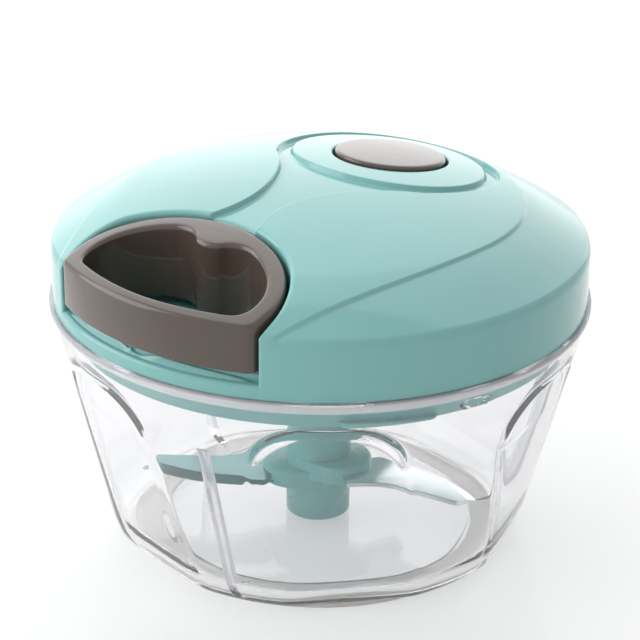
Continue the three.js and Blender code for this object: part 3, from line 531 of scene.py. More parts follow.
def any_seen(tree: bpy.types.NodeTree) -> bpy.types.NodeSocket:
    """1 for a ray that shows what it meets: a camera, glossy or transmission ray. 0 for the others.

    Args:
        tree: The node tree that gets the nodes.

    Returns:
        The output that holds the value.
    """
    path = tree.nodes.new("ShaderNodeLightPath")
    total = path.outputs["Is Camera Ray"]
    for kind in ("Is Glossy Ray", "Is Transmission Ray"):
        either = tree.nodes.new("ShaderNodeMath")
        either.operation = "MAXIMUM"
        tree.links.new(total, either.inputs[0])
        tree.links.new(path.outputs[kind], either.inputs[1])
        total = either.outputs[0]
    return total


def shaded(colour: Triple, share: float) -> Triple:
    """A colour made lighter or darker by a share."""
    return tuple(min(1.0, c * share) for c in colour)


@dataclass(frozen=True)
class Finish:
    """What a piece is made of. Each kind builds its own nodes once."""

    name: str

    def material(self) -> bpy.types.Material:
        """The material, made at its first use."""
        return bpy.data.materials.get(self.name) or self.build()

    def build(self) -> bpy.types.Material:
        """Makes the material."""
        raise NotImplementedError


@dataclass(frozen=True)
class MouldedPlastic(Finish):
    """Injection-moulded plastic: slight flow marks in its colour, uneven gloss and a faint skin."""

    colour: Triple
    roughness: float
    variation: float = 0.035
    skin: float = 0.012
    grain: float = 900.0
    specular: float = 0.4
    coat: float = 0.0
    coat_roughness: float = 0.03
    edge_wear_and_highlight: bool = False

    def build(self) -> bpy.types.Material:
        """Makes the material.

        Returns:
            The new material.
        """
        nodes = NodeTree(self.name)
        flow = nodes.between(nodes.noise(28, 4, (1, 1, 0.4)), 0, 1)
        tone = nodes.tone(flow, self.colour, self.variation)
        # Sharp edges, found by pointiness, turn 15 % lighter: partly rubbed wear, partly a painted highlight
        # along the edges.
        if self.edge_wear_and_highlight:
            edge = nodes.node("ShaderNodeNewGeometry")
            edge_wear_and_highlight = nodes.node("ShaderNodeMapRange")
            edge_wear_and_highlight.inputs["From Min"].default_value, edge_wear_and_highlight.inputs["From Max"].default_value = 0.52, 0.62
            nodes.link(edge.outputs["Pointiness"], edge_wear_and_highlight.inputs["Value"])
            mixed = nodes.node("ShaderNodeMix", data_type="RGBA")
            nodes.link(edge_wear_and_highlight.outputs["Result"], mixed.inputs[0])
            nodes.link(tone, mixed.inputs[6])
            mixed.inputs[7].default_value = (*shaded(self.colour, 1.15), 1)
            tone = mixed.outputs[2]
        nodes.link(tone, nodes.shader.inputs["Base Color"])
        gloss = nodes.between(nodes.noise(60, 5), self.roughness * 0.85, self.roughness * 1.15)
        nodes.link(gloss, nodes.shader.inputs["Roughness"])
        nodes.bump(nodes.noise(self.grain, 2), 0.25, self.skin)
        nodes.shader.inputs["Specular IOR Level"].default_value = self.specular
        nodes.shader.inputs["Coat Weight"].default_value = self.coat
        nodes.shader.inputs["Coat Roughness"].default_value = self.coat_roughness
        return nodes.material


@dataclass(frozen=True)
class ClearPlastic(Finish):
    """Clear plastic with slight mould waves and faint scuffs in its gloss. Lamps shine through it."""

    colour: Triple
    roughness: float
    index: float = 1.49
    clear: float = 0.96
    passing: float = 0.94

    def build(self) -> bpy.types.Material:
        """Makes the material.

        Returns:
            The new material.
        """
        nodes = NodeTree(self.name)
        nodes.shader.inputs["Base Color"].default_value = (*self.colour, 1)
        nodes.shader.inputs["Transmission Weight"].default_value = self.clear
        nodes.shader.inputs["IOR"].default_value = self.index
        scuffs = nodes.between(nodes.noise(140, 6, (1, 1, 0.3)), self.roughness * 0.4, self.roughness * 1.6)
        nodes.link(scuffs, nodes.shader.inputs["Roughness"])
        nodes.bump(nodes.noise(45, 2), 0.15, 0.12)
        passing = nodes.node("ShaderNodeBsdfTransparent")
        passing.inputs["Color"].default_value = (self.passing, self.passing, self.passing, 1)
        path, chosen = nodes.node("ShaderNodeLightPath"), nodes.node("ShaderNodeMixShader")
        nodes.link(path.outputs["Is Shadow Ray"], chosen.inputs[0])
        nodes.link(nodes.shader.outputs[0], chosen.inputs[1])
        nodes.link(passing.outputs[0], chosen.inputs[2])
        nodes.link(chosen.outputs[0], nodes.tree.nodes["Material Output"].inputs["Surface"])
        return nodes.material


@dataclass(frozen=True)
class GroundSteel(Finish):
    """Stainless steel with the fine lines of its grinding."""

    colour: Triple
    roughness: float
    stretch: Triple = (1, 14, 1)
    scratch: float = 0.01

    def build(self) -> bpy.types.Material:
        """Makes the material.

        Returns:
            The new material.
        """
        nodes = NodeTree(self.name)
        lines = nodes.noise(420, 4, self.stretch)
        share = nodes.between(lines, 0, 1)
        nodes.link(nodes.tone(share, self.colour, 0.05), nodes.shader.inputs["Base Color"])
        gloss = nodes.between(lines, self.roughness * 0.75, self.roughness * 1.3)
        nodes.link(gloss, nodes.shader.inputs["Roughness"])
        nodes.shader.inputs["Metallic"].default_value = 1.0
        nodes.bump(lines, 0.2, self.scratch)
        return nodes.material


@dataclass(frozen=True)
class SoftRubber(Finish):
    """Matt rubber or silicone with a fine grain and a dusty sheen."""

    colour: Triple
    roughness: float = 0.7
    sheen: float = 0.15

    def build(self) -> bpy.types.Material:
        """Makes the material.

        Returns:
            The new material.
        """
        nodes = NodeTree(self.name)
        dust = nodes.between(nodes.noise(90, 5), 0, 1)
        nodes.link(nodes.tone(dust, self.colour, 0.07), nodes.shader.inputs["Base Color"])
        gloss = nodes.between(nodes.noise(300, 3), self.roughness * 0.9, self.roughness * 1.1)
        nodes.link(gloss, nodes.shader.inputs["Roughness"])
        nodes.shader.inputs["Sheen Weight"].default_value = self.sheen
        nodes.bump(nodes.noise(1500, 2), 0.3, 0.03)
        return nodes.material


@dataclass(frozen=True)
class WovenCord(Finish):
    """A braided cord, its strands crossing in a fine net."""

    colour: Triple
    pitch: float = 900.0

    def build(self) -> bpy.types.Material:
        """Makes the material.

        Returns:
            The new material.
        """
        nodes = NodeTree(self.name)
        strands = []
        for sign in (1, -1):
            turned = nodes.node("ShaderNodeTexWave", Scale=self.pitch, Distortion=0.6)
            turned.bands_direction = "DIAGONAL"
            nodes.link(nodes.place((1, sign, 1)), turned.inputs["Vector"])
            strands.append(turned.outputs["Fac"])
        net = nodes.node("ShaderNodeMath", operation="MAXIMUM")
        nodes.link(strands[0], net.inputs[0])
        nodes.link(strands[1], net.inputs[1])
        tone = nodes.blend(net.outputs[0], shaded(self.colour, 0.7), self.colour)
        nodes.link(tone, nodes.shader.inputs["Base Color"])
        nodes.shader.inputs["Roughness"].default_value = 0.85
        nodes.shader.inputs["Sheen Weight"].default_value = 0.3
        nodes.bump(net.outputs[0], 0.6, 0.15)
        return nodes.material


MINT = MouldedPlastic("mint_plastic", linear(126, 184, 181), 0.12, skin=0.005, coat=0.25)
MINT_INSIDE = MouldedPlastic("mint_plastic_inside", linear(124, 194, 190), 0.3)
HUB_MINT = MouldedPlastic("hub_plastic", linear(98, 170, 166), 0.28)
# The taupe's lighter sharp edges are partly rubbed wear and partly a painted highlight.
TAUPE = MouldedPlastic(
    "taupe_plastic", linear(82, 70, 62), 0.24, variation=0.06, grain=1400.0, coat=0.5, edge_wear_and_highlight=True
)
WHITE = MouldedPlastic("white_plastic", linear(232, 230, 224), 0.45)
CLEAR = ClearPlastic("clear_plastic", (0.955, 0.952, 0.962), 0.015, 1.36, 0.95, 0.96)
CLEAR_RIM = ClearPlastic("clear_plastic_rim", (0.93, 0.92, 0.96), 0.2, 1.36, 0.6)
# The blades are one steel: the lower and upper ones carry a painted teal reflection in their colour, the middle
# one a painted white reflection.
STEEL_PAINTED_TEAL_REFLECTION = GroundSteel("blade_steel", linear(112, 150, 148), 0.22, (9, 9, 1), 0.003)
STEEL_PAINTED_WHITE_REFLECTION = GroundSteel("blade_steel_painted_white_reflection", linear(222, 226, 228), 0.14, (9, 9, 1), 0.003)
STEEL = GroundSteel("plain_steel", linear(196, 199, 201), 0.28, (1, 1, 8))
FOOT = SoftRubber("foot_rubber", linear(226, 219, 213))
SILICONE = SoftRubber("seal_silicone", linear(226, 230, 228), 0.45, 0.05)
CORD = WovenCord("braided_cord", linear(222, 218, 210))


# Bowl


PIN_RADIUS = 2.0
PIN_SUNK = 1.6


@dataclass
class Bowl:
    """The clear bowl with its flutes, inner ribs and bayonet lugs, and the ring that it stands on."""

    wall_foot: float = 48.875
    wall_slope: float = 0.23194
    wall: float = 2.05
    height: float = 60.9
    lip: float = 0.39
    lip_rise: float = 1.1
    floor_under: float = 0.8
    floor_top: float = 2.8
    foot_radius: float = 44.0
    foot_width: float = 6.5
    foot_thickness: float = 1.5
    corner: float = 6.5
    inner_corner: float = 9.0
    flute_first: float = -48.0
    flute_count: int = 6
    flute_half: float = 17.2
    flute_foot_half: float = 14.0
    flute_corner: float = 12.0
    flute_top: float = 51.4
    flute_soft: float = 1.2
    flute_share: float = 0.85
    flute_fade: float = 1.5
    arch_fade: float = 5.0
    crease: float = 0.35
    flute_swirl: float = 9.0
    flute_start: float = 34.0
    rib_first: float = -72.8
    rib_slant: float = 0.0754
    rib_half: float = 1.0
    rib_reach: float = 2.0
    rib_bottom: float = 6.0
    rib_top: float = 45.0
    rib_soft: float = 0.3
    rib_start: float = 30.0
    lug_first: float = -16.0
    lug_half: float = 4.4
    lug_half_height: float = 1.1
    lug_reach: float = 1.3
    lug_height: float = 56.1
    pad_radius: float = 5.5
    pad_top: float = 4.2

    def radius(self, z: np.ndarray | float) -> np.ndarray | float:
        """The outside radius of the plain wall at a height."""
        return self.wall_foot + self.wall_slope * z

    def lean(self, z: np.ndarray | float) -> np.ndarray | float:
        """How far the mesh's columns lean round the wall at a height, in radians, to run along the ribs."""
        return -self.rib_slant * z / self.radius(z)

    def angles(self) -> np.ndarray:
        """The directions of the mesh's columns at the foot, closer together at ribs and lugs.

        Returns:
            The directions in radians, in rising order.
        """
        sets = [np.arange(0, 360, 0.6)]
        lug = self.lug_first - math.degrees(self.lean(self.lug_height))
        for k in range(3):
            sets.append((self.rib_first + 120 * k + np.linspace(-1.8, 1.8, 25)) % 360)
            sets.append((lug + 120 * k + np.linspace(-4.6, 4.6, 21)) % 360)
        merged = np.unique(np.round(np.concatenate(sets), 3))
        keep = np.r_[True, np.diff(merged) > 0.08]
        return np.radians(merged[keep])

    def flute(self, angle: np.ndarray, z: np.ndarray, radius: np.ndarray, wider: np.ndarray) -> np.ndarray:
        """How far a flute pushes the wall in. Its top has rounded corners and its foot turns aside.

        Args:
            angle: Directions round the bowl, in radians.
            z: Heights.
            radius: The plain radius at each point.
            wider: How much wider the flute is there than on the outside.

        Returns:
            The depth at each point.
        """
        spring = self.flute_top - self.flute_corner
        step = 2 * np.pi / self.flute_count
        rise = np.clip(z / spring, 0, 1)
        middle = np.radians(self.flute_first + self.flute_swirl * (1 - rise))
        side = np.abs((angle - middle + step / 2) % step - step / 2) * radius
        half = self.flute_foot_half + (self.flute_half - self.flute_foot_half) * rise
        chord = self.flute_share * (half**2 - side**2) / (2 * radius)
        near = smooth_step((half + self.flute_fade - side) / self.flute_fade)
        flat = (chord + np.sqrt(chord**2 + self.crease**2)) / 2 * near
        out = np.maximum(side - self.flute_half + self.flute_corner, 0)
        above = self.flute_corner - np.hypot(out, np.maximum(z - spring, 0)) + wider
        arch = smooth_step((z - spring) / self.arch_fade)
        return flat * (1 - arch * (1 - smooth_step(above / self.flute_soft + 0.2)))

    def from_rib(self, angle: np.ndarray | float, z: np.ndarray | float) -> np.ndarray | float:
        """The angle to the nearest rib at a height, in radians."""
        return from_third(angle - self.lean(z) - math.radians(self.rib_first))

    def raised(self, angle: np.ndarray, z: np.ndarray, radius: np.ndarray) -> np.ndarray:
        """How far the ribs and lugs stand out of the inner wall.

        Args:
            angle: Directions round the bowl, in radians.
            z: Heights.
            radius: The plain radius at each point.

        Returns:
            The reach at each point.
        """
        side = np.abs(self.from_rib(angle, z) * radius)
        rib = smooth_step((self.rib_half + 0.12 - side) / self.rib_soft)
        rib *= smooth_step((self.rib_top - z) / 1.2)
        turn = from_third(angle - math.radians(self.lug_first))
        oval = np.hypot(turn * radius / self.lug_half, (z - self.lug_height) / self.lug_half_height)
        lug = smooth_step((1.05 - oval) / 0.35)
        return np.maximum(self.rib_reach * rib, self.lug_reach * lug)

    def on_rib(self, place: Vector) -> bool:
        """True for a point on one of the inner ribs.

        Args:
            place: The middle of a face, in metres.

        Returns:
            True where the face is part of a rib.
        """
        z, r = place.z / MM, math.hypot(place.x, place.y) / MM
        side = abs(self.from_rib(math.atan2(place.y, place.x), z) * r)
        out = self.radius(z) - self.wall - r
        near = side < self.rib_half + self.rib_soft and out > self.rib_soft
        return near and self.rib_bottom < z < self.rib_top

    def under(self) -> np.ndarray:
        """The bowl's underside from its middle to the wall's foot, as radii and heights.

        Returns:
            The points, from the middle outwards.
        """
        recess, low = self.foot_radius - self.foot_width - SEAT, self.foot_thickness + SEAT
        start = self.radius(low)
        under, wall_start = self.floor_under, 8.0
        level = [[0.0, under], [recess * 0.5, under], [recess, under], [recess, low]]
        wall = (self.radius(wall_start), wall_start)
        bend = bezier((start - self.corner * 0.62, low), (start + 0.1, low), wall, steps=10)
        return np.vstack([level, bend])

    def rim(self) -> np.ndarray:
        """The rim with its lip, from the outside over the top to the inside, as radii and heights.

        Returns:
            The points, from the outside to the inside.
        """
        top, lip = self.height, self.radius(self.height) + self.lip
        start, inner = top - 2.0 * self.lip_rise, self.radius(top) - self.wall
        return np.array([
            [self.radius(start), start], [lip - 0.12, top - self.lip_rise - 0.1],
            [lip, top - self.lip_rise + 0.1], [lip, top - 0.25], [lip - 0.25, top],
            [inner + 0.3, top], [inner, top - 0.3],
        ])

    def inside(self) -> np.ndarray:
        """The inside from the rim down the wall and over the floor to the pin's hole, in radii and heights.

        Returns:
            The points, from the rim to the middle.
        """
        steps = ((58.8, 53.0, -0.35), (53.0, 33.0, -0.5), (33.0, 12.5, -1.5))
        z = np.concatenate([np.arange(*step) for step in steps])
        edge, floor, pad = self.radius(self.floor_top) - self.wall, self.floor_top, self.pad_radius
        wall = (self.radius(11.6) - self.wall, 11.6)
        bend = bezier(wall, (edge + 0.2, floor), (edge - self.inner_corner * 0.8, floor), steps=12)
        hole, hole_floor = PIN_RADIUS + SEAT, self.pad_top - PIN_SUNK
        top = self.pad_top
        level = [[30.0, floor], [20.0, floor], [12.0, floor], [pad + 0.5, floor], [pad, floor + 0.4],
                 [pad, top - 0.3], [pad - 0.3, top], [hole, top], [hole, hole_floor], [0.0, hole_floor]]
        return np.vstack([np.stack([self.radius(z) - self.wall, z], 1), bend, level])

    def shell(self) -> bpy.types.Object:
        """The bowl itself, one closed skin.

        Returns:
            The bowl, riding on its body.
        """
        steps = ((9.0, 33.0, 1.5), (33.0, 53.0, 0.45), (53.0, 58.8, 0.9))
        z_out = np.concatenate([np.arange(*step) for step in steps])
        outer = np.vstack([self.under(), np.stack([self.radius(z_out), z_out], 1), self.rim()])
        profile = np.vstack([outer, self.inside()])
        angle = self.angles()
        r, z = np.repeat(profile[:, :1], len(angle), 1), np.repeat(profile[:, 1:], len(angle), 1)
        a = np.broadcast_to(angle, r.shape) + self.lean(z)
        wider = np.where(np.arange(len(profile)) < len(outer), 0.0, self.wall)[:, None]
        push = self.flute(a, z, self.radius(z), wider) * smooth_step((r - self.flute_start) / 8.0)
        raised = self.raised(a, z, self.radius(z)) * smooth_step((r - self.rib_start) / 10.0)
        push[len(outer):] += raised[len(outer):]
        r = r - push
        maker = MeshMaker("clear_bowl")
        maker.grid(np.stack([r * np.cos(a), r * np.sin(a), z], 2))
        obj = maker.made(CLEAR, sharp=35)
        obj.data.materials.append(CLEAR_RIM.material())
        low, inner = self.height - 2.0 * self.lip_rise - 0.2, self.radius(self.height) - self.wall + 0.2
        for face in obj.data.polygons:
            middle = face.center
            at_rim = middle.z > low * MM and math.hypot(middle.x, middle.y) > inner * MM
            face.material_index = int(at_rim or self.on_rib(middle))
        return placed(obj, Body.BOWL, "clear", "bowl")

    def foot(self) -> bpy.types.Object:
        """The soft ring under the bowl.

        Returns:
            The ring, riding on its body.
        """
        outer, inner, top = self.foot_radius, self.foot_radius - self.foot_width, self.foot_thickness
        maker = MeshMaker("foot_band")
        maker.turned(np.vstack([
            [[inner, top - 0.2], [inner + 0.2, top], [outer - 0.2, top], [outer, top - 0.2]],
            arc((outer - 0.5, 0.5), 0.5, 0, -90, 5), [[inner + 0.4, 0.0], [inner, 0.4], [inner, top - 0.2]],
        ]), 180)
        return placed(maker.made(FOOT), Body.BOWL, "foot", "foot_ring")

    def pin(self) -> bpy.types.Object:
        """The steel pin that the rotor turns on.

        Returns:
            The pin, riding on its body.
        """
        bottom, top, soft = self.pad_top - PIN_SUNK, self.pad_top + 9.4, 0.6
        end = arc((PIN_RADIUS - soft, top - soft), soft, 0, 90, 5)
        maker = MeshMaker("floor_pin")
        maker.turned(np.vstack([[[0, bottom], [PIN_RADIUS, bottom]], end, [[0, top]]]), 40)
        return placed(maker.made(STEEL), Body.BOWL, "steel", "pivot_pin")

    def build(self) -> None:
        """Builds the bowl, its foot and its pin."""
        self.shell()
        self.foot()
        self.pin()


# Rotor


@dataclass
class Rotor:
    """The hub with its three collars and the three ground blades."""

    radius: float = 7.6
    bottom: float = 3.1
    top: float = 56.5
    socket: float = 3.5
    socket_depth: float = 13.0
    turns: Triple = (220.0, 10.0, 100.0)
    heights: Triple = (14.0, 16.55, 32.0)
    collar_length: float = 13.4
    collar_half: float = 7.6
    collar_height: float = 4.6
    tip: float = 42.07
    root: float = 13.2
    root_half: float = 9.2
    tang_start: float = 2.6
    tang_end: float = 9.0
    tang_half: float = 5.0
    waist_half: float = 4.0
    belly_half: float = 7.0
    tip_edge: float = 0.6
    thickness: float = 1.2
    bevel: float = 2.6

    def hub(self) -> bpy.types.Object:
        """The tube with its six-sided socket and the rounded collars.

        Returns:
            The hub, riding on its body.
        """
        maker = MeshMaker("rotor_hub")
        count = 120
        a = np.linspace(0, 2 * np.pi, count, endpoint=False)
        hexagon = self.socket * math.cos(math.pi / 6) / np.cos((a + np.pi / 6) % (np.pi / 3) - np.pi / 6)
        flat, none = np.full(count, self.radius), np.zeros(count)
        top, floor = self.top, self.top - self.socket_depth
        rows = [(none, self.bottom), (flat - 0.4, self.bottom), (flat, self.bottom + 0.4), (flat, 30.0),
                (flat, top - 0.9), (flat - 0.25, top - 0.3), (flat - 0.8, top), (hexagon + 0.3, top),
                (hexagon, top - 0.3), (hexagon, floor), (none, floor)]
        loops = [np.stack([r * np.cos(a), r * np.sin(a), np.full(count, z)], 1) for r, z in rows]
        maker.grid(np.stack(loops))
        for i, height in enumerate(self.heights):
            half, reach = self.collar_half, self.collar_length - self.collar_half
            outline = np.vstack([[[-2.0, -half]], arc((reach, 0), half, -90, 90, 28), [[-2.0, half]]])
            loops = []
            for share, inset in ((-1, 0.45), (-0.94, 0.12), (-0.8, 0.0), (0.8, 0.0), (0.94, 0.12), (1, 0.45)):
                level = np.full(len(outline), height + share * self.collar_height / 2)
                loops.append(np.column_stack([outline * (1 - inset / half), level]))
            maker.capped(turned_flat(np.stack(loops), math.radians(self.turns[i])))
        return placed(maker.made(HUB_MINT, sharp=50), Body.ROTOR, "mint", "blade_hub")

    def side(self, sign: int, steps: int) -> np.ndarray:
        """The blunt spine of a blade for sign -1, its cutting edge for sign 1.

        Args:
            sign: -1 for the spine, 1 for the cutting edge.
            steps: How many points it gets.

        Returns:
            The points from the hub to the tip.
        """
        blunt = sign < 0
        middle = (self.tip * 0.595, self.waist_half) if blunt else (self.tip * 0.714, self.belly_half)
        end = (self.tip - self.bevel, self.waist_half) if blunt else (self.tip, self.tip_edge)
        bend = ((self.root + middle[0]) / 2, self.waist_half if blunt else self.root_half)
        spine_sweep = ((middle[0] + end[0]) / 2, self.waist_half)
        sweep = spine_sweep if blunt else (end[0] - self.bevel, self.belly_half / 2)
        tang = self.tang_half
        start = [[self.tang_start, tang], [self.tang_end, tang], [self.root, self.root_half]]
        line = np.vstack([start, bezier((self.root, self.root_half), bend, middle, steps=24)[1:],
                          bezier(middle, sweep, end, steps=24)[1:]])
        line[:, 1] *= sign
        fine = resampled(line, 0.1, False)
        return fine[np.linspace(0, len(fine) - 1, steps).astype(int)]

    def blade(self, index: int, name: str) -> bpy.types.Object:
        """One blade, its cutting side ground to a thin edge.

        Args:
            index: Which blade it is, from 0.
            name: The name of the piece.

        Returns:
            The blade, riding on its body.
        """
        steps = 70
        spine, edge = self.side(-1, steps), self.side(1, steps)
        across = spine - edge
        width = np.linalg.norm(across, axis=1)
        share = np.minimum(self.bevel / width, 0.6)
        ground = edge[:, 0] > self.tang_end
        share = np.where(ground, share, share * 0.2)
        ridge = edge + across * share[:, None]
        low = self.heights[index] - self.thickness / 2
        high = low + self.thickness
        thin = np.where(ground, 0.18, self.thickness - 0.1)
        nick = across / width[:, None] * 0.15

        def lifted(points: np.ndarray, z: float | np.ndarray) -> np.ndarray:
            """Plan points at a height."""
            return np.column_stack([points, np.broadcast_to(z, len(points))])

        rows = np.stack([
            lifted(spine - nick, low), lifted(edge, low), lifted(edge, low + thin), lifted(ridge, high),
            lifted(spine - nick, high), lifted(spine, high - 0.15), lifted(spine, low + 0.15),
        ], 1)
        maker = MeshMaker(name)
        maker.capped(turned_flat(rows, math.radians(self.turns[index])))
        # The middle blade gets the painted white reflection, the others the painted teal reflection.
        finish = STEEL_PAINTED_WHITE_REFLECTION if index == 1 else STEEL_PAINTED_TEAL_REFLECTION
        return placed(maker.made(finish, sharp=12), Body.ROTOR, "steel", name.replace("_ground", ""))

    def build(self) -> None:
        """Builds the hub and the blades."""
        self.hub()
        for index, name in enumerate(("blade_lower_ground", "blade_middle_ground", "blade_upper_ground")):
            self.blade(index, name)


# Lid


@dataclass
class LidShell:
    """The domed lid: its crown with the raised, sunk and round fields, the notch and the wall."""

    radius: float = 62.5
    apex: float = 88.9
    crown: float = 200.0
    crown_edge: float = 46.2
    rim: float = 61.2
    step: float = 0.6
    valley_depth: float = 1.2
    notch_half: float = 29.2
    notch_reach: float = 20.8
    notch_centre: float = -50.5
    notch_floor: float = 64.3
    notch_soft: float = 1.0
    corner_soft: float = 1.2
    button_place: float = 25.4
    recess: float = 13.9
    recess_floor: float = 80.0
    recess_soft: float = 0.45
    stem_hole: float = 3.1
    riser: float = 0.85
    tear_radius: float = 46.4
    tear_centre: float = 1.5
    oval_half: float = 24.6
    oval_depth: float = 20.4
    oval_place: float = 24.6
    sill_turn: float = 37.0
    lip_turn: float = 26.0
    lip_rise: float = 1.7
    dip_turn: float = 6.5
    cord_height: float = 70.9

    def profile(self) -> np.ndarray:
        """Radii and heights of the lid's top outside the raised field.

        Returns:
            Pairs of a radius and a height, from the middle to the edge.
        """
        r = np.linspace(0, self.crown_edge, 60)
        low = self.apex - self.step
        crown = np.stack([r, low - r**2 / (2 * self.crown)], 1)
        shoulder = bezier(tuple(crown[-1]), (52.4, 81.1), (61.0, 75.8), steps=24)[1:]
        edge = bezier((61.0, 75.8), (62.5, 75.05), (62.5, 73.2), steps=16)[1:]
        return np.vstack([crown, shoulder, edge])

    def base(self, r: np.ndarray) -> np.ndarray:
        """The plain height of the lid at a radius."""
        line = self.profile()
        return np.interp(r, line[:, 0], line[:, 1])

    def notch(self) -> np.ndarray:
        """The notch's outline from its left corner round the back to its right corner.

        Returns:
            The points of the open line.
        """
        half = self.notch_half
        front = -math.sqrt(self.radius**2 - half**2)
        back = np.radians(np.linspace(180, 0, 161))
        ellipse = np.stack([half * np.cos(back), self.notch_centre + self.notch_reach * np.sin(back)], 1)
        left = np.stack([np.full(6, -half), np.linspace(front, self.notch_centre, 7)[:-1]], 1)
        right = np.stack([np.full(6, half), np.linspace(self.notch_centre, front, 7)[1:]], 1)
        return np.vstack([left, ellipse, right])

    def outline(self) -> tuple[np.ndarray, np.ndarray]:
        """The lid seen from above with its notch cut out.

        Returns:
            The closed outline, and for each of its points True if it belongs to the notch.
        """
        notch = self.notch()
        start = math.degrees(math.atan2(notch[-1, 1], notch[-1, 0]))
        end = 180 - start
        rim = arc((0, 0), self.radius, start, end, 190)
        line = cornered(np.vstack([rim[:-1], notch[:-1]]), self.corner_soft)
        return line, np.hypot(line[:, 0], line[:, 1]) < self.radius - 0.06

    def tear(self) -> np.ndarray:
        """The raised field, a circle whose sides run in to the corners of the notch.

        Returns:
            The points of the closed line.
        """
        corner, front = self.notch_half + 0.3, -59.8
        r, c = self.tear_radius, self.tear_centre
        right = bezier((corner, front), (38.0, -38.0), (r, -22.0), (r, c), steps=90)
        top = arc((0, c), r, 0, 180, 160)
        left = right[::-1] * np.array([-1.0, 1.0])
        return resampled(np.vstack([right, top[1:], left[1:]]), 0.8, True)

    def valley(self) -> np.ndarray:
        """The sunk field, a keyhole that starts at the notch, has a waist and widens round the button.

        Returns:
            The points of the closed line.
        """
        half = [(7.4, -31.7), (4.6, -21.0), (22.3, 10.0), (27.3, 25.0), (0.0, 45.6)]
        bend = [(4.6, -26.35), (4.6, -5.5), (27.3, 17.5), (27.3, 45.6)]
        pieces = [bezier(half[i], bend[i], half[i + 1], steps=40)[:-1] for i in range(4)]
        right = np.vstack(pieces)
        left = np.vstack([right, [half[-1]]])[::-1] * np.array([-1.0, 1.0])
        return resampled(np.vstack([right, left[:-1]]), 0.7, True)

    def disc(self) -> np.ndarray:
        """The oval field round the button.

        Returns:
            The points of the closed line.
        """
        a = np.linspace(0, 2 * np.pi, 300, endpoint=False)
        oval = np.stack([self.oval_half * np.cos(a), self.oval_place + self.oval_depth * np.sin(a)], 1)
        return resampled(oval, 0.7, True)

    def around_button(self, radius: float) -> np.ndarray:
        """A circle round the button's place."""
        return arc((0, self.button_place), radius, 0, 360, 140)[:-1]

    def rounding(self, distance: np.ndarray, soft: float) -> np.ndarray:
        """How far a rounded edge drops at a distance from it."""
        near = np.clip(soft - distance, 0, soft)
        return soft - np.sqrt(np.maximum(soft**2 - near**2, 0))

    def height(self, points: np.ndarray, notch: np.ndarray) -> np.ndarray:
        """The height of the lid's top at points seen from above.

        Args:
            points: The points.
            notch: The notch's part of the outline.

        Returns:
            One height for each point.
        """
        r = np.hypot(points[:, 0], points[:, 1])
        z = self.base(np.minimum(r, self.radius))
        fields = (self.tear(), self.valley(), self.disc())
        raised, sunk, flat = (smooth_step(depth_inside(points, line) / self.riser + 0.5) for line in fields)
        z += self.step * raised
        z -= self.valley_depth * sunk * (1 - flat)
        z -= self.rounding(distance_to(points, notch, False), self.notch_soft)
        hole = np.abs(np.hypot(points[:, 0], points[:, 1] - self.button_place) - self.recess)
        return z - self.rounding(hole, self.recess_soft)

    def plan(self, line: np.ndarray) -> tuple[np.ndarray, list[tuple[int, ...]]]:
        """Cuts the lid's top into triangles that follow every step and edge.

        Args:
            line: The closed outline.

        Returns:
            The points seen from above, and the faces between them.
        """
        circle = self.around_button(self.recess)
        rows = [line, circle]
        rows += [offset_line(line, off) for off in (0.06, 0.2, 0.4, 0.7, 1.0, 1.3)]
        rows += [self.around_button(self.recess + off) for off in (0.06, 0.18, 0.45, 0.8)]
        for field_line in (self.tear(), self.valley(), self.disc()):
            for off in (-0.6, -0.42, -0.3, -0.15, 0.0, 0.15, 0.3, 0.42, 0.6):
                rows.append(offset_line(field_line, off))
        points: list[np.ndarray] = []
        edges: list[tuple[int, int]] = []
        total = 0
        for number, row in enumerate(rows):
            keep = np.hypot(row[:, 0], row[:, 1]) < self.radius + 1e-4
            if number > 0:
                keep &= inside(row, line) & (distance_to(row, line) > 0.03)
            if number > 1:
                keep &= np.hypot(row[:, 0], row[:, 1] - self.button_place) > self.recess + 0.03
            where = np.full(len(row), -1)
            where[keep] = total + np.arange(keep.sum())
            points.append(row[keep])
            total += int(keep.sum())
            for i in range(len(row)):
                a, b = where[i], where[(i + 1) % len(row)]
                if a >= 0 and b >= 0:
                    edges.append((int(a), int(b)))
        features = np.vstack(points)
        close = [61.0, 61.4, 61.7, 61.95, 62.15, 62.3]
        rings = np.concatenate([np.arange(1.6, 46.0, 1.7), np.arange(46.4, 60.5, 0.9), close])
        fill = [np.zeros((1, 2))]
        for k, r in enumerate(rings):
            count = max(8, int(round(2 * np.pi * r / (1.7 if r < 46 else 1.9))))
            a = np.linspace(0, 2 * np.pi, count, endpoint=False) + (k % 2) * np.pi / count
            fill.append(np.stack([r * np.cos(a), r * np.sin(a)], 1))
        loose = np.vstack(fill)
        loose = loose[inside(loose, line)]
        loose = loose[np.hypot(loose[:, 0], loose[:, 1] - self.button_place) > self.recess + 1.0]
        grid = {}
        for x, y in features:
            grid.setdefault((int(x // 1), int(y // 1)), []).append((x, y))
        kept = []
        for x, y in loose:
            reach = 0.75 if math.hypot(x, y) < 60.7 else 0.12
            cell = (int(x // 1), int(y // 1))
            cells = [(cell[0] + i, cell[1] + j) for i in (-1, 0, 1) for j in (-1, 0, 1)]
            near = [q for c in cells for q in grid.get(c, [])]
            if all((x - q[0]) ** 2 + (y - q[1]) ** 2 > reach**2 for q in near):
                kept.append((x, y))
        everything = np.vstack([features, np.array(kept)])
        made = delaunay_2d_cdt([Vector(p) for p in everything], edges, [], 0, 1e-5)
        plan = np.array([(v.x, v.y) for v in made[0]])
        middle = np.array([plan[list(f)].mean(0) for f in made[2]])
        from_button = np.hypot(middle[:, 0], middle[:, 1] - self.button_place)
        good = inside(middle, line) & (from_button > self.recess - 0.05)
        return plan, [tuple(f) for f, ok in zip(made[2], good) if ok]

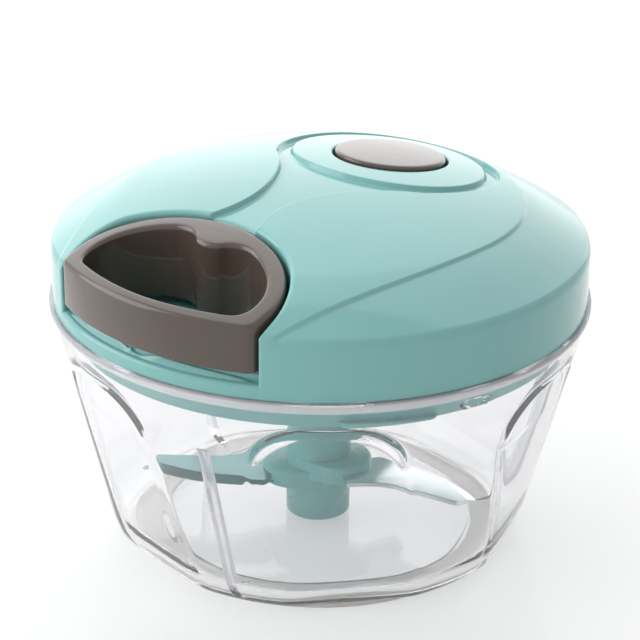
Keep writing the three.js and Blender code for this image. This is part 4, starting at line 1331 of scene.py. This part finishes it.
    def shell(self) -> bpy.types.Object:
        """The lid's top, wall, notch and rim as one skin.

        Returns:
            The shell, riding on its body.
        """
        maker = MeshMaker("lid_dome")
        line, at_notch = self.outline()
        notch = self.notch()
        plan, faces = self.plan(line)
        maker.add(np.column_stack([plan, self.height(plan, notch)]), faces)
        top = self.height(line, notch)
        bottom = np.where(at_notch, self.notch_floor - 0.5, self.rim)
        rows = [np.column_stack([line, top])]
        for share in (0.04, 0.12, 0.25, 0.45, 0.7, 1.0):
            rows.append(np.column_stack([line, top + (bottom - top) * share]))
        maker.grid(np.stack(rows))
        circle = self.around_button(self.recess)
        edge = self.height(circle, notch)
        recess = [np.column_stack([circle, edge + (self.recess_floor - edge) * s]) for s in (0, 0.3, 1)]
        hole = self.around_button(self.stem_hole)
        recess.append(np.column_stack([hole, np.full(len(hole), self.recess_floor)]))
        maker.grid(np.stack(recess))
        inner = self.radius - 2.2
        r, low = self.radius, self.rim
        maker.turned(np.array([[r - 0.04, low + 0.3], [r - 0.12, low + 0.08], [r - 0.3, low],
                               [inner + 0.2, low], [inner, low + 0.2], [inner, 66.0]]), 240)
        self.add_sill(maker)
        return placed(maker.made(MINT, sharp=38, weld=2e-3), Body.LID, "mint", "lid_shell")

    def add_sill(self, maker: MeshMaker) -> None:
        """Adds the notch's floor, the wall below it and the lip with its dip for a fingertip.

        Args:
            maker: The maker of the shell, which gets the faces.
        """
        turn = np.linspace(-self.sill_turn, self.sill_turn, 223)
        front = np.vstack([[[62.5, self.rim], [62.5, 62.2], [62.5, 63.1]], arc((61.4, 63.2), 1.1, 8, 90, 7)])
        lip_r = np.array([61.25, 61.1, 60.95, 60.8, 60.5, 60.1, 59.8, 59.6, 59.4, 59.2])
        deep = np.arange(58.6, 28.0, -0.9)
        r = np.concatenate([front[:, 0], lip_r, deep])
        z = np.concatenate([front[:, 1], np.full(len(lip_r) + len(deep), self.notch_floor)])
        rows_r, rows_t = np.meshgrid(r, turn, indexing="ij")
        rows_z = np.repeat(z[:, None], len(turn), 1)
        bump = smooth_step((61.32 - rows_r) / 0.5) * smooth_step((rows_r - 59.3) / 0.5)
        ends = np.sqrt(np.clip(np.cos(np.radians(rows_t * 90 / self.lip_turn)), 0, 1))
        ends *= np.abs(rows_t) < self.lip_turn
        dip = np.where(np.abs(rows_t) < self.dip_turn, (1 + np.cos(np.pi * rows_t / self.dip_turn)) / 2, 0)
        rows_z += self.lip_rise * bump * ends * (1 - 0.75 * dip)
        rib = smooth_step((0.6 - np.abs((rows_t + 2.2) * math.pi / 180 * rows_r)) / 0.35)
        along = smooth_step((61.3 - rows_r) / 0.4) * smooth_step((rows_r - 57.0) / 1.5)
        rows_z += 0.5 * rib * along * (dip > 0)
        limit = np.where(np.abs(rows_t) < 27.6, 62.5, np.where(np.abs(rows_t) < 30.4, 62.46, 61.0))
        rows_r = np.minimum(rows_r, limit)
        a = np.radians(rows_t - 90)
        maker.grid(np.stack([rows_r * np.cos(a), rows_r * np.sin(a), rows_z], 2), round_columns=False)

    def eyelet(self) -> bpy.types.Object:
        """The pale bush that the cord runs through, in the notch's back wall.

        Returns:
            The bush, riding on its body.
        """
        mouth, wall = -26.7, self.notch_centre + self.notch_reach
        maker = MeshMaker("cord_eyelet")
        far = mouth - wall
        flange = [[1.3, 0.3], [1.6, 0.0], [3.3, 0.0], [3.6, 0.3], [3.6, 0.7], [2.4, 0.7]]
        sleeve = [[2.4, far + 0.1], [2.2, far + 0.35], [1.7, far + 0.35], [1.3, far - 0.1], [1.3, 0.3]]
        profile = np.array(flange + sleeve)
        a = np.linspace(0, 2 * np.pi, 48, endpoint=False)
        x = profile[:, :1] * np.cos(a)
        z = self.cord_height + profile[:, :1] * np.sin(a)
        maker.grid(np.stack([x, np.repeat(mouth - profile[:, 1:2], 48, 1), z], 2))
        return placed(maker.made(WHITE), Body.LID, "white", "cord_guide")

    def build(self) -> None:
        """Builds the lid's shell and its cord bush."""
        self.shell()
        self.eyelet()


@dataclass
class LidBase:
    """The plate under the lid: its skirt with the bayonet ribs, boss and webs, the seal and the screws."""

    plate_radius: float = 60.0
    plate_top: float = 61.7
    skirt_foot: float = 44.825
    skirt_slope: float = 0.23194
    skirt_top: float = 59.7
    skirt_bottom: float = 53.4
    thick: float = 1.8
    boss: float = 12.2
    boss_wall: float = 3.2
    boss_bottom: float = 54.4
    bore: float = 3.9
    post: float = 5.2
    post_top: float = 66.4
    web_count: int = 6
    ramp_start: float = -46.0
    ramp_turn: float = 22.0
    ramp_reach: float = 1.5
    screw_place: float = 50.0
    screw_angles: tuple[float, ...] = (-18.0, 198.0, 50.0, 130.0)

    def skirt(self, z: float) -> float:
        """The skirt's outer radius at a height."""
        return self.skirt_foot + self.skirt_slope * z

    def plate_profile(self) -> np.ndarray:
        """The plate with its post, skirt and boss, as radii and heights.

        Returns:
            The points of the closed section.
        """
        st, sb, t, top = self.skirt_top, self.skirt_bottom, self.thick, self.plate_top
        edge, boss, low = self.plate_radius, self.boss, self.boss_bottom
        inner = boss - self.boss_wall
        return np.array([
            [self.bore, st], [self.bore, self.post_top], [self.post, self.post_top], [self.post, top],
            [edge - 0.3, top], [edge, top - 0.3], [edge, st + 0.2], [edge - 0.2, st],
            [self.skirt(st) + 0.3, st], [self.skirt(st - 0.4), st - 0.4], [self.skirt(sb + 0.3), sb + 0.3],
            [self.skirt(sb) - 0.3, sb], [self.skirt(sb) - t + 0.3, sb], [self.skirt(sb) - t, sb + 0.3],
            [self.skirt(st) - t, st - 0.5], [self.skirt(st) - t - 0.5, st], [boss + 0.5, st],
            [boss, st - 0.5], [boss, low + 0.3], [boss - 0.3, low], [inner + 0.3, low],
            [inner, low + 0.3], [inner, st], [self.bore, st],
        ])

    def add_webs(self, maker: MeshMaker) -> None:
        """Adds the webs that run from the boss to the skirt.

        Args:
            maker: The maker of the plate, which gets the faces.
        """
        st = self.skirt_top
        half, soft, low = 0.7, 0.5, st - 3.0
        left = ((-half, st + 0.4), (-half, low + 0.2), (-soft, low))
        section = left + tuple((-y, z) for y, z in reversed(left))
        ends = (self.boss - 1.4, self.skirt(st) - self.thick / 2)
        web = np.array([[[x, y, z] for y, z in section] for x in ends])
        for k in range(self.web_count):
            maker.grid(turned_flat(web, math.radians(30 + 60 * k)))

    def add_ramps(self, maker: MeshMaker) -> None:
        """Adds the bayonet ribs, which fall along the skirt's foot.

        Args:
            maker: The maker of the plate, which gets the faces.
        """
        count, low_edge = 25, self.skirt_bottom
        share = np.linspace(0, 1, count)
        top, low = low_edge + 1.7 - 0.8 * share, np.full(count, low_edge + 0.3)
        grow = np.minimum(1, np.minimum(share, 1 - share) / 0.06)
        inner = np.full(count, self.skirt(low_edge) - 0.6)
        out_low = self.skirt(low_edge + 0.3) + self.ramp_reach * grow
        out_top = self.skirt(low_edge + 1.2) + self.ramp_reach * grow
        loops = [(inner, low), (out_low - 0.2, low), (out_low, low + 0.2), (out_top, top - 0.2),
                 (out_top - 0.2, top), (inner, top)]
        for k in range(3):
            a = np.radians(120 * k + self.ramp_start + self.ramp_turn * share)
            rows = [np.stack([r * np.cos(a), r * np.sin(a), z], 1) for r, z in loops]
            maker.grid(np.stack(rows), True, False)

    def plate(self) -> bpy.types.Object:
        """The plate with its skirt, boss, webs and bayonet ribs.

        Returns:
            The plate, riding on its body.
        """
        maker = MeshMaker("lid_plate")
        maker.turned(self.plate_profile(), 216)
        self.add_webs(maker)
        self.add_ramps(maker)
        return placed(maker.made(MINT_INSIDE, sharp=40), Body.LID, "mint", "lid_base")

    def seal(self) -> bpy.types.Object:
        """The pale ring that closes the gap to the bowl.

        Returns:
            The seal, riding on its body.
        """
        maker = MeshMaker("seal_ring")
        low, high, inner, outer = 58.2, 59.4, 58.92, 60.02
        soft = 0.3
        upper = arc((outer - soft, high - soft), soft, 90, 0, 4)
        lower = arc((outer - soft, low + soft), soft, 0, -90, 4)
        start, end = [[inner, low + 0.2], [inner, high]], [[inner + 0.2, low], [inner, low + 0.2]]
        maker.turned(np.vstack([start, upper, lower, end]), 216)
        return placed(maker.made(SILICONE), Body.SEAL, "seal", "lid_seal")

    def screw(self, index: int, angle: float) -> bpy.types.Object:
        """One pan-head screw with a cross slot, seen from below the lid.

        Args:
            index: Which screw it is, from 0.
            angle: Its direction from the middle, in degrees.

        Returns:
            The screw, riding on its body.
        """
        maker = MeshMaker(f"plate_screw_{index + 1}")
        seat, way = self.skirt_top - SEAT, math.radians(angle)
        x, y = self.screw_place * math.cos(way), self.screw_place * math.sin(way)
        shank = np.array([[0.0, seat + 11.0], [0.7, seat + 11.0], [1.4, seat + 9.8], [1.4, seat]])
        head = np.vstack([[[2.7, seat], [2.8, seat - 0.2]], arc((2.0, seat - 0.6), 0.8, 0, -90, 5)])
        low, floor = seat - 1.0, seat - 0.7
        maker.turned(np.vstack([shank, head, [[1.5, seat - 1.4], [1.5, floor], [0.0, floor]]]), 40, (x, y))
        half, thin = 1.45, 0.2
        corners = ((-half, -thin), (half, -thin), (half, thin), (-half, thin))
        bar = np.array([[u, v, z] for z in (low, floor) for u, v in corners])
        for turn in (0.0, 90.0):
            placed_bar = turned_flat(bar, math.radians(angle + turn)) + (x, y, 0.0)
            maker.add(placed_bar, [(3, 2, 1, 0), (0, 1, 5, 4), (1, 2, 6, 5), (2, 3, 7, 6), (3, 0, 4, 7)])
        return placed(maker.made(STEEL, sharp=30), Body.LID, "steel", f"lid_screw_{index + 1}")

    def build(self) -> None:
        """Builds the plate, the seal and the screws."""
        self.plate()
        self.seal()
        for index, angle in enumerate(self.screw_angles):
            self.screw(index, angle)


# Handle, button and cord


@dataclass
class Handle:
    """The pull handle: a ring with rounded edges and a boss inside its back wall."""

    half: float = 28.4
    reach: float = 20.0
    centre: float = -50.5
    front: float = 62.5
    wall: float = 4.4
    front_wall: float = 3.1
    bottom: float = 66.8
    apex: float = 88.6
    crown: float = 178.0
    soft: float = 1.1
    low_soft: float = 0.5
    outer_corner: float = 1.9
    inner_corner: float = 3.4
    boss_reach: float = 5.4
    boss_half: float = 8.6
    stations: int = 480

    def outline(self, half: float, reach: float, front: float, boss: float, corner: float) -> np.ndarray:
        """One of the ring's two outlines.

        Args:
            half: Half of its width.
            reach: How far its back goes behind its middle.
            front: The radius of its front.
            boss: How far the boss swells in.
            corner: How far from each front corner the rounding starts.

        Returns:
            The points of the closed line.
        """
        a = np.linspace(0, np.pi, 241)
        x = half * np.cos(a)
        swell = np.where(np.abs(x) < self.boss_half, (1 + np.cos(np.pi * x / self.boss_half)) / 2, 0)
        back = np.stack([x, self.centre + reach * np.sin(a) - boss * swell], 1)
        edge = math.degrees(math.asin(half / front))
        return cornered(np.vstack([back, arc((0, 0), front, -90 - edge, -90 + edge, 120)]), corner)

    def rays(self, line: np.ndarray) -> np.ndarray:
        """Where rays from the ring's middle meet an outline.

        Args:
            line: The points of an outline.

        Returns:
            One point of the outline for each direction.
        """
        middle = np.array([0.0, self.centre])
        a = np.linspace(0, 2 * np.pi, self.stations, endpoint=False) + np.pi / 2
        ray = np.stack([np.cos(a), np.sin(a)], 1)
        p, s = line - middle, np.roll(line, -1, 0) - line
        across = ray[:, None, 0] * s[None, :, 1] - ray[:, None, 1] * s[None, :, 0]
        across = np.where(np.abs(across) < TINY, TINY, across)
        far = (p[:, 0] * s[:, 1] - p[:, 1] * s[:, 0])[None] / across
        share = (p[None, :, 0] * ray[:, None, 1] - p[None, :, 1] * ray[:, None, 0]) / across
        hit = np.where((far > 0) & (share >= -1e-9) & (share < 1 + 1e-9), far, FAR).min(1)
        return middle + ray * hit[:, None]

    def build(self) -> None:
        """Builds the handle."""
        half, reach, front = self.half - self.wall, self.reach - self.wall, self.front - self.front_wall
        outer = self.rays(self.outline(self.half, self.reach, self.front, 0.0, self.outer_corner))
        inner = self.rays(self.outline(half, reach, front, self.boss_reach, self.inner_corner))
        width = np.linalg.norm(inner - outer, axis=1)
        way = (inner - outer) / width[:, None]

        def top(points: np.ndarray) -> np.ndarray:
            """The height of the handle's top at each point."""
            return self.apex - (points**2).sum(1) / (2 * self.crown)

        def low_edge(line: np.ndarray, sign: int, a: float) -> np.ndarray:
            """A row of the rounded edge at the handle's underside.

            Args:
                line: The outer or the inner outline.
                sign: 1 for the outer, -1 for the inner.
                a: How far round the edge it is, in radians.

            Returns:
                The points of the row.
            """
            points = line + sign * way * (self.low_soft * (1 - math.sin(a)))
            height = self.bottom + self.low_soft * (1 - math.cos(a))
            return np.column_stack([points, np.full(len(points), height)])

        def high_edge(line: np.ndarray, sign: int, a: float) -> np.ndarray:
            """A row of the rounded edge at the handle's top.

            Args:
                line: The outer or the inner outline.
                sign: 1 for the outer, -1 for the inner.
                a: How far round the edge it is, in radians.

            Returns:
                The points of the row.
            """
            points = line + sign * way * (self.soft * (1 - math.cos(a)))
            return np.column_stack([points, top(points) - self.soft * (1 - math.sin(a))])

        quarter = np.radians(np.linspace(0, 90, 7))
        rows = [low_edge(outer, 1, a) for a in quarter[::2]]
        rows += [high_edge(outer, 1, a) for a in quarter]
        for share in (0.35, 0.65):
            points = outer + way * (self.soft + (width - 2 * self.soft) * share)[:, None]
            rows.append(np.column_stack([points, top(points)]))
        rows += [high_edge(inner, -1, a) for a in quarter[::-1]]
        rows += [low_edge(inner, -1, a) for a in quarter[::-2]]
        maker = MeshMaker("pull_handle")
        maker.grid(np.stack(rows), round_rows=True)
        placed(maker.made(TAUPE, sharp=50), Body.HANDLE, "taupe", "handle")


@dataclass
class Button:
    """The round push button, its cap curved as the lid is."""

    radius: float = 13.2
    place: float = 25.4
    apex: float = 89.7
    crown: float = 200.0
    bottom: float = 83.9
    soft: float = 0.8
    stem: float = 2.7
    stem_bottom: float = 77.5
    spring_radius: float = 6.0
    spring_wire: float = 0.5
    spring_turns: float = 2.0
    spring_low: float = 80.8
    spring_high: float = 83.2

    def spring(self) -> None:
        """Builds the spring under the cap; on the real button it shortens as the button goes in."""
        low, high = self.spring_low, self.spring_high
        t = np.linspace(0, 1, 140)
        a, r = 2 * np.pi * self.spring_turns * t, self.spring_radius
        path = np.stack([r * np.cos(a), self.place + r * np.sin(a), low + (high - low) * t], 1)
        maker = MeshMaker("cap_spring")
        maker.tube(path, self.spring_wire, 12)
        stretched(maker.made(STEEL), Body.LID, Body.BUTTON, "button_spring")

    def build(self) -> None:
        """Builds the button with its stem and its spring."""
        self.spring()
        count = 160
        a = np.linspace(0, 2 * np.pi, count, endpoint=False)
        rows = []

        def row(r: float, drop: float, level: float | None = None) -> np.ndarray:
            """A ring of points on the cap, or on a level.

            Args:
                r: The radius of the ring.
                drop: How far it lies under the cap.
                level: Its height, if it is level.

            Returns:
                The points of the ring.
            """
            x, y = r * np.cos(a), self.place + r * np.sin(a)
            curved = self.apex - (x**2 + y**2) / (2 * self.crown) - drop
            return np.stack([x, y, curved if level is None else np.full(count, level)], 1)

        for r in (0.0, 3.0, 6.0, 8.5, 10.4, 11.6):
            rows.append(row(r, 0.0))
        for t in np.radians(np.linspace(90, 0, 7)):
            rows.append(row(self.radius - self.soft * (1 - math.cos(t)), self.soft * (1 - math.sin(t))))
        low, stem_low, soft = self.bottom, self.stem_bottom, 0.4
        for r, level in ((self.radius, low + 0.2), (self.radius - 0.3, low), (self.stem + soft, low),
                         (self.stem, low - soft), (self.stem, stem_low + soft), (self.stem - soft, stem_low),
                         (0.0, stem_low)):
            rows.append(row(r, 0.0, level))
        maker = MeshMaker("push_button")
        maker.grid(np.stack(rows))
        placed(maker.made(TAUPE, sharp=50), Body.BUTTON, "taupe", "button")


@dataclass
class CordRun:
    """The pull cord: its turns on the drum, the run to the bush, the run to the handle and the knot."""

    radius: float = 0.9
    level: float = 70.9
    winding_radius: float = 19.9
    pitch: float = 2.2
    turns: float = 2.3
    lead_radius: float = 22.0
    mouth: float = -26.7
    knot_place: float = -35.9
    knot_radius: float = 2.3

    def build(self) -> None:
        """Builds the four pieces of the cord."""
        start = -math.pi / 2 - math.acos(self.lead_radius / -self.mouth)
        t = np.linspace(0, 1, 150)
        a = start - 2 * np.pi * self.turns * t
        r, rise = self.winding_radius, self.pitch * self.turns
        path = np.stack([r * np.cos(a), r * np.sin(a), self.level + rise * t], 1)
        maker = MeshMaker("drum_turns")
        maker.tube(path, self.radius, 14)
        placed(maker.made(CORD), Body.DRUM, "cord", "cord_winding")
        first = np.array([self.lead_radius * math.cos(start), self.lead_radius * math.sin(start), self.level])
        end = np.array([0.0, self.mouth, self.level])
        end += (first - end) / np.linalg.norm(first - end) * (self.radius + SEAT)
        maker = MeshMaker("cord_to_bush")
        maker.tube(np.linspace(first, end, 12), self.radius, 16)
        placed(maker.made(CORD), Body.LID, "cord", "cord_entry")
        near = (0, self.mouth - SEAT, self.level)
        far = (0, self.knot_place + self.knot_radius + SEAT, self.level)
        maker = MeshMaker("cord_to_handle")
        maker.tube(np.linspace(near, far, 60), self.radius, 16)
        stretched(maker.made(CORD), Body.LID, Body.HANDLE, "cord_lead")
        self.knot()

    def knot(self) -> None:
        """Builds the knot at the cord's end."""
        maker = MeshMaker("cord_end_knot")
        t = np.linspace(0, 2 * np.pi, 120, endpoint=False)
        reach = (0.75 + 0.45 * np.cos(3 * t)) * 1.1
        loop = np.stack([reach * np.cos(2 * t), reach * np.sin(2 * t), 0.55 * np.sin(3 * t)], 1)
        loop = np.vstack([loop, loop[:1]]) + np.array([0.0, self.knot_place, self.level])
        maker.tube(loop, 0.8, 12)
        placed(maker.made(CORD), Body.HANDLE, "cord", "cord_knot")


@dataclass
class HiddenWorks:
    """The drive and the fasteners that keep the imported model's own shapes and get their finish here."""

    white: tuple[str, ...] = ("cord_drum", "spring_case")
    steel: tuple[str, ...] = ("clutch_spider", "clutch_screw", "drive_shaft", "recoil_spring",
                              "case_screw_1", "case_screw_2", "case_screw_3")

    def dress(self) -> None:
        """Gives each node its material."""
        for names, finish in ((self.white, WHITE), (self.steel, STEEL)):
            for name in names:
                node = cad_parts[name]
                node.data.materials.clear()
                node.data.materials.append(finish.material())
                log.info("%s keeps its shape and gets %s", name, finish.name)


# Studio


@dataclass
class Studio:
    """The pale floor, the soft lamps and the camera at the photograph's view."""

    camera_place: Triple = (0.3119, -0.3717, 0.2689)
    pitch: float = 24.043
    azimuth: float = 40.0
    roll: float = 0.60
    lens: float = 126.38
    bright_side: float = 118.0
    low_level: float = 0.3
    high_level: float = 1.12
    floor_white: float = 0.5

    def camera(self) -> None:
        """Sets the camera."""
        p, a, roll = (math.radians(v) for v in (self.pitch, self.azimuth, self.roll))
        forward = Vector((-math.sin(a) * math.cos(p), math.cos(a) * math.cos(p), -math.sin(p)))
        right = forward.cross(Vector((0, 0, 1))).normalized()
        up = right.cross(forward)
        right = right * math.cos(roll) + up * math.sin(roll)
        up = right.cross(forward)
        data = bpy.data.cameras.new("photo_view")
        data.lens, data.sensor_width = self.lens, 36.0
        data.clip_start, data.clip_end = 0.01, 20.0
        camera = bpy.data.objects.new("photo_view", data)
        facing = Matrix((right, up, -forward)).transposed().to_4x4()
        camera.matrix_world = Matrix.Translation(self.camera_place) @ facing
        bpy.context.scene.collection.objects.link(camera)
        bpy.context.scene.camera = camera

    def lamp(self, name: str, place: Triple, size: tuple[float, float], power: float) -> None:
        """Adds a soft box that looks at the object.

        Args:
            name: The lamp's name.
            place: Where it hangs, in metres.
            size: Its width and height, in metres.
            power: Its power, in watts.
        """
        data = bpy.data.lights.new(name, "AREA")
        data.shape, data.size, data.size_y, data.energy = "RECTANGLE", size[0], size[1], power
        lamp = bpy.data.objects.new(name, data)
        lamp.location = place
        lamp.rotation_mode = "QUATERNION"
        lamp.rotation_quaternion = (Vector((0, 0, 0.05)) - Vector(place)).to_track_quat("-Z", "Y")
        bpy.context.scene.collection.objects.link(lamp)

    def world(self) -> None:
        """Lights the scene from a pale room, brightest at the left, and shows plain white behind it."""
        world = bpy.data.worlds.new("studio")
        bpy.context.scene.world = world
        world.use_nodes = True
        tree = world.node_tree
        back = tree.nodes["Background"]
        where = tree.nodes.new("ShaderNodeTexCoord")
        facing = tree.nodes.new("ShaderNodeVectorMath")
        facing.operation = "DOT_PRODUCT"
        a = math.radians(self.bright_side)
        facing.inputs[1].default_value = (-math.sin(a), math.cos(a), 0.0)
        tree.links.new(where.outputs["Generated"], facing.inputs[0])
        room = tree.nodes.new("ShaderNodeMapRange")
        limits = {"From Min": -0.6, "From Max": 0.5, "To Min": self.low_level, "To Max": self.high_level}
        for name, value in limits.items():
            room.inputs[name].default_value = value
        tree.links.new(facing.outputs["Value"], room.inputs["Value"])
        level = tree.nodes.new("ShaderNodeMix")
        level.inputs[3].default_value = 1.0
        tree.links.new(any_seen(tree), level.inputs[0])
        tree.links.new(room.outputs["Result"], level.inputs[2])
        tree.links.new(level.outputs[0], back.inputs["Strength"])
        back.inputs["Color"].default_value = (1, 1, 1, 1)

    def floor(self) -> None:
        """Adds the white floor, which keeps the object's shadow."""
        mesh = bpy.data.meshes.new("studio_floor")
        r = 6.0
        mesh.from_pydata([(-r, -r, 0), (r, -r, 0), (r, r, 0), (-r, r, 0)], [], [(0, 1, 2, 3)])
        obj = bpy.data.objects.new("studio_floor", mesh)
        bpy.context.scene.collection.objects.link(obj)
        nodes = NodeTree("white_floor")
        nodes.shader.inputs["Base Color"].default_value = (0.93, 0.93, 0.935, 1)
        nodes.shader.inputs["Roughness"].default_value = 0.18
        nodes.shader.inputs["Specular IOR Level"].default_value = 0.35
        glow, mixed = nodes.node("ShaderNodeEmission"), nodes.node("ShaderNodeMixShader")
        share = nodes.node("ShaderNodeMath", operation="MULTIPLY")
        share.inputs[1].default_value = self.floor_white
        nodes.link(any_seen(nodes.tree), share.inputs[0])
        nodes.link(share.outputs[0], mixed.inputs[0])
        nodes.link(nodes.shader.outputs[0], mixed.inputs[1])
        nodes.link(glow.outputs[0], mixed.inputs[2])
        nodes.link(mixed.outputs[0], nodes.tree.nodes["Material Output"].inputs["Surface"])
        mesh.materials.append(nodes.material)

    def build(self) -> None:
        """Builds the camera, the light and the floor."""
        self.camera()
        self.world()
        self.floor()
        self.lamp("back_box", (-0.45, 0.61, 0.65), (1.8, 1.75), 9.0)
        self.lamp("left_box", (-0.9, -0.7, 0.5), (0.9, 0.9), 6.0)


def main() -> None:
    """Builds every sub-assembly in order and sets the plain view transform."""
    logging.basicConfig(level=logging.INFO, format="%(name)s: %(message)s")
    Studio().build()
    Bowl().build()
    Rotor().build()
    LidShell().build()
    LidBase().build()
    Handle().build()
    Button().build()
    CordRun().build()
    HiddenWorks().dress()
    bpy.context.view_layer.update()
    bpy.context.scene.view_settings.view_transform = "Standard"


if __name__ == "__main__":
    main()
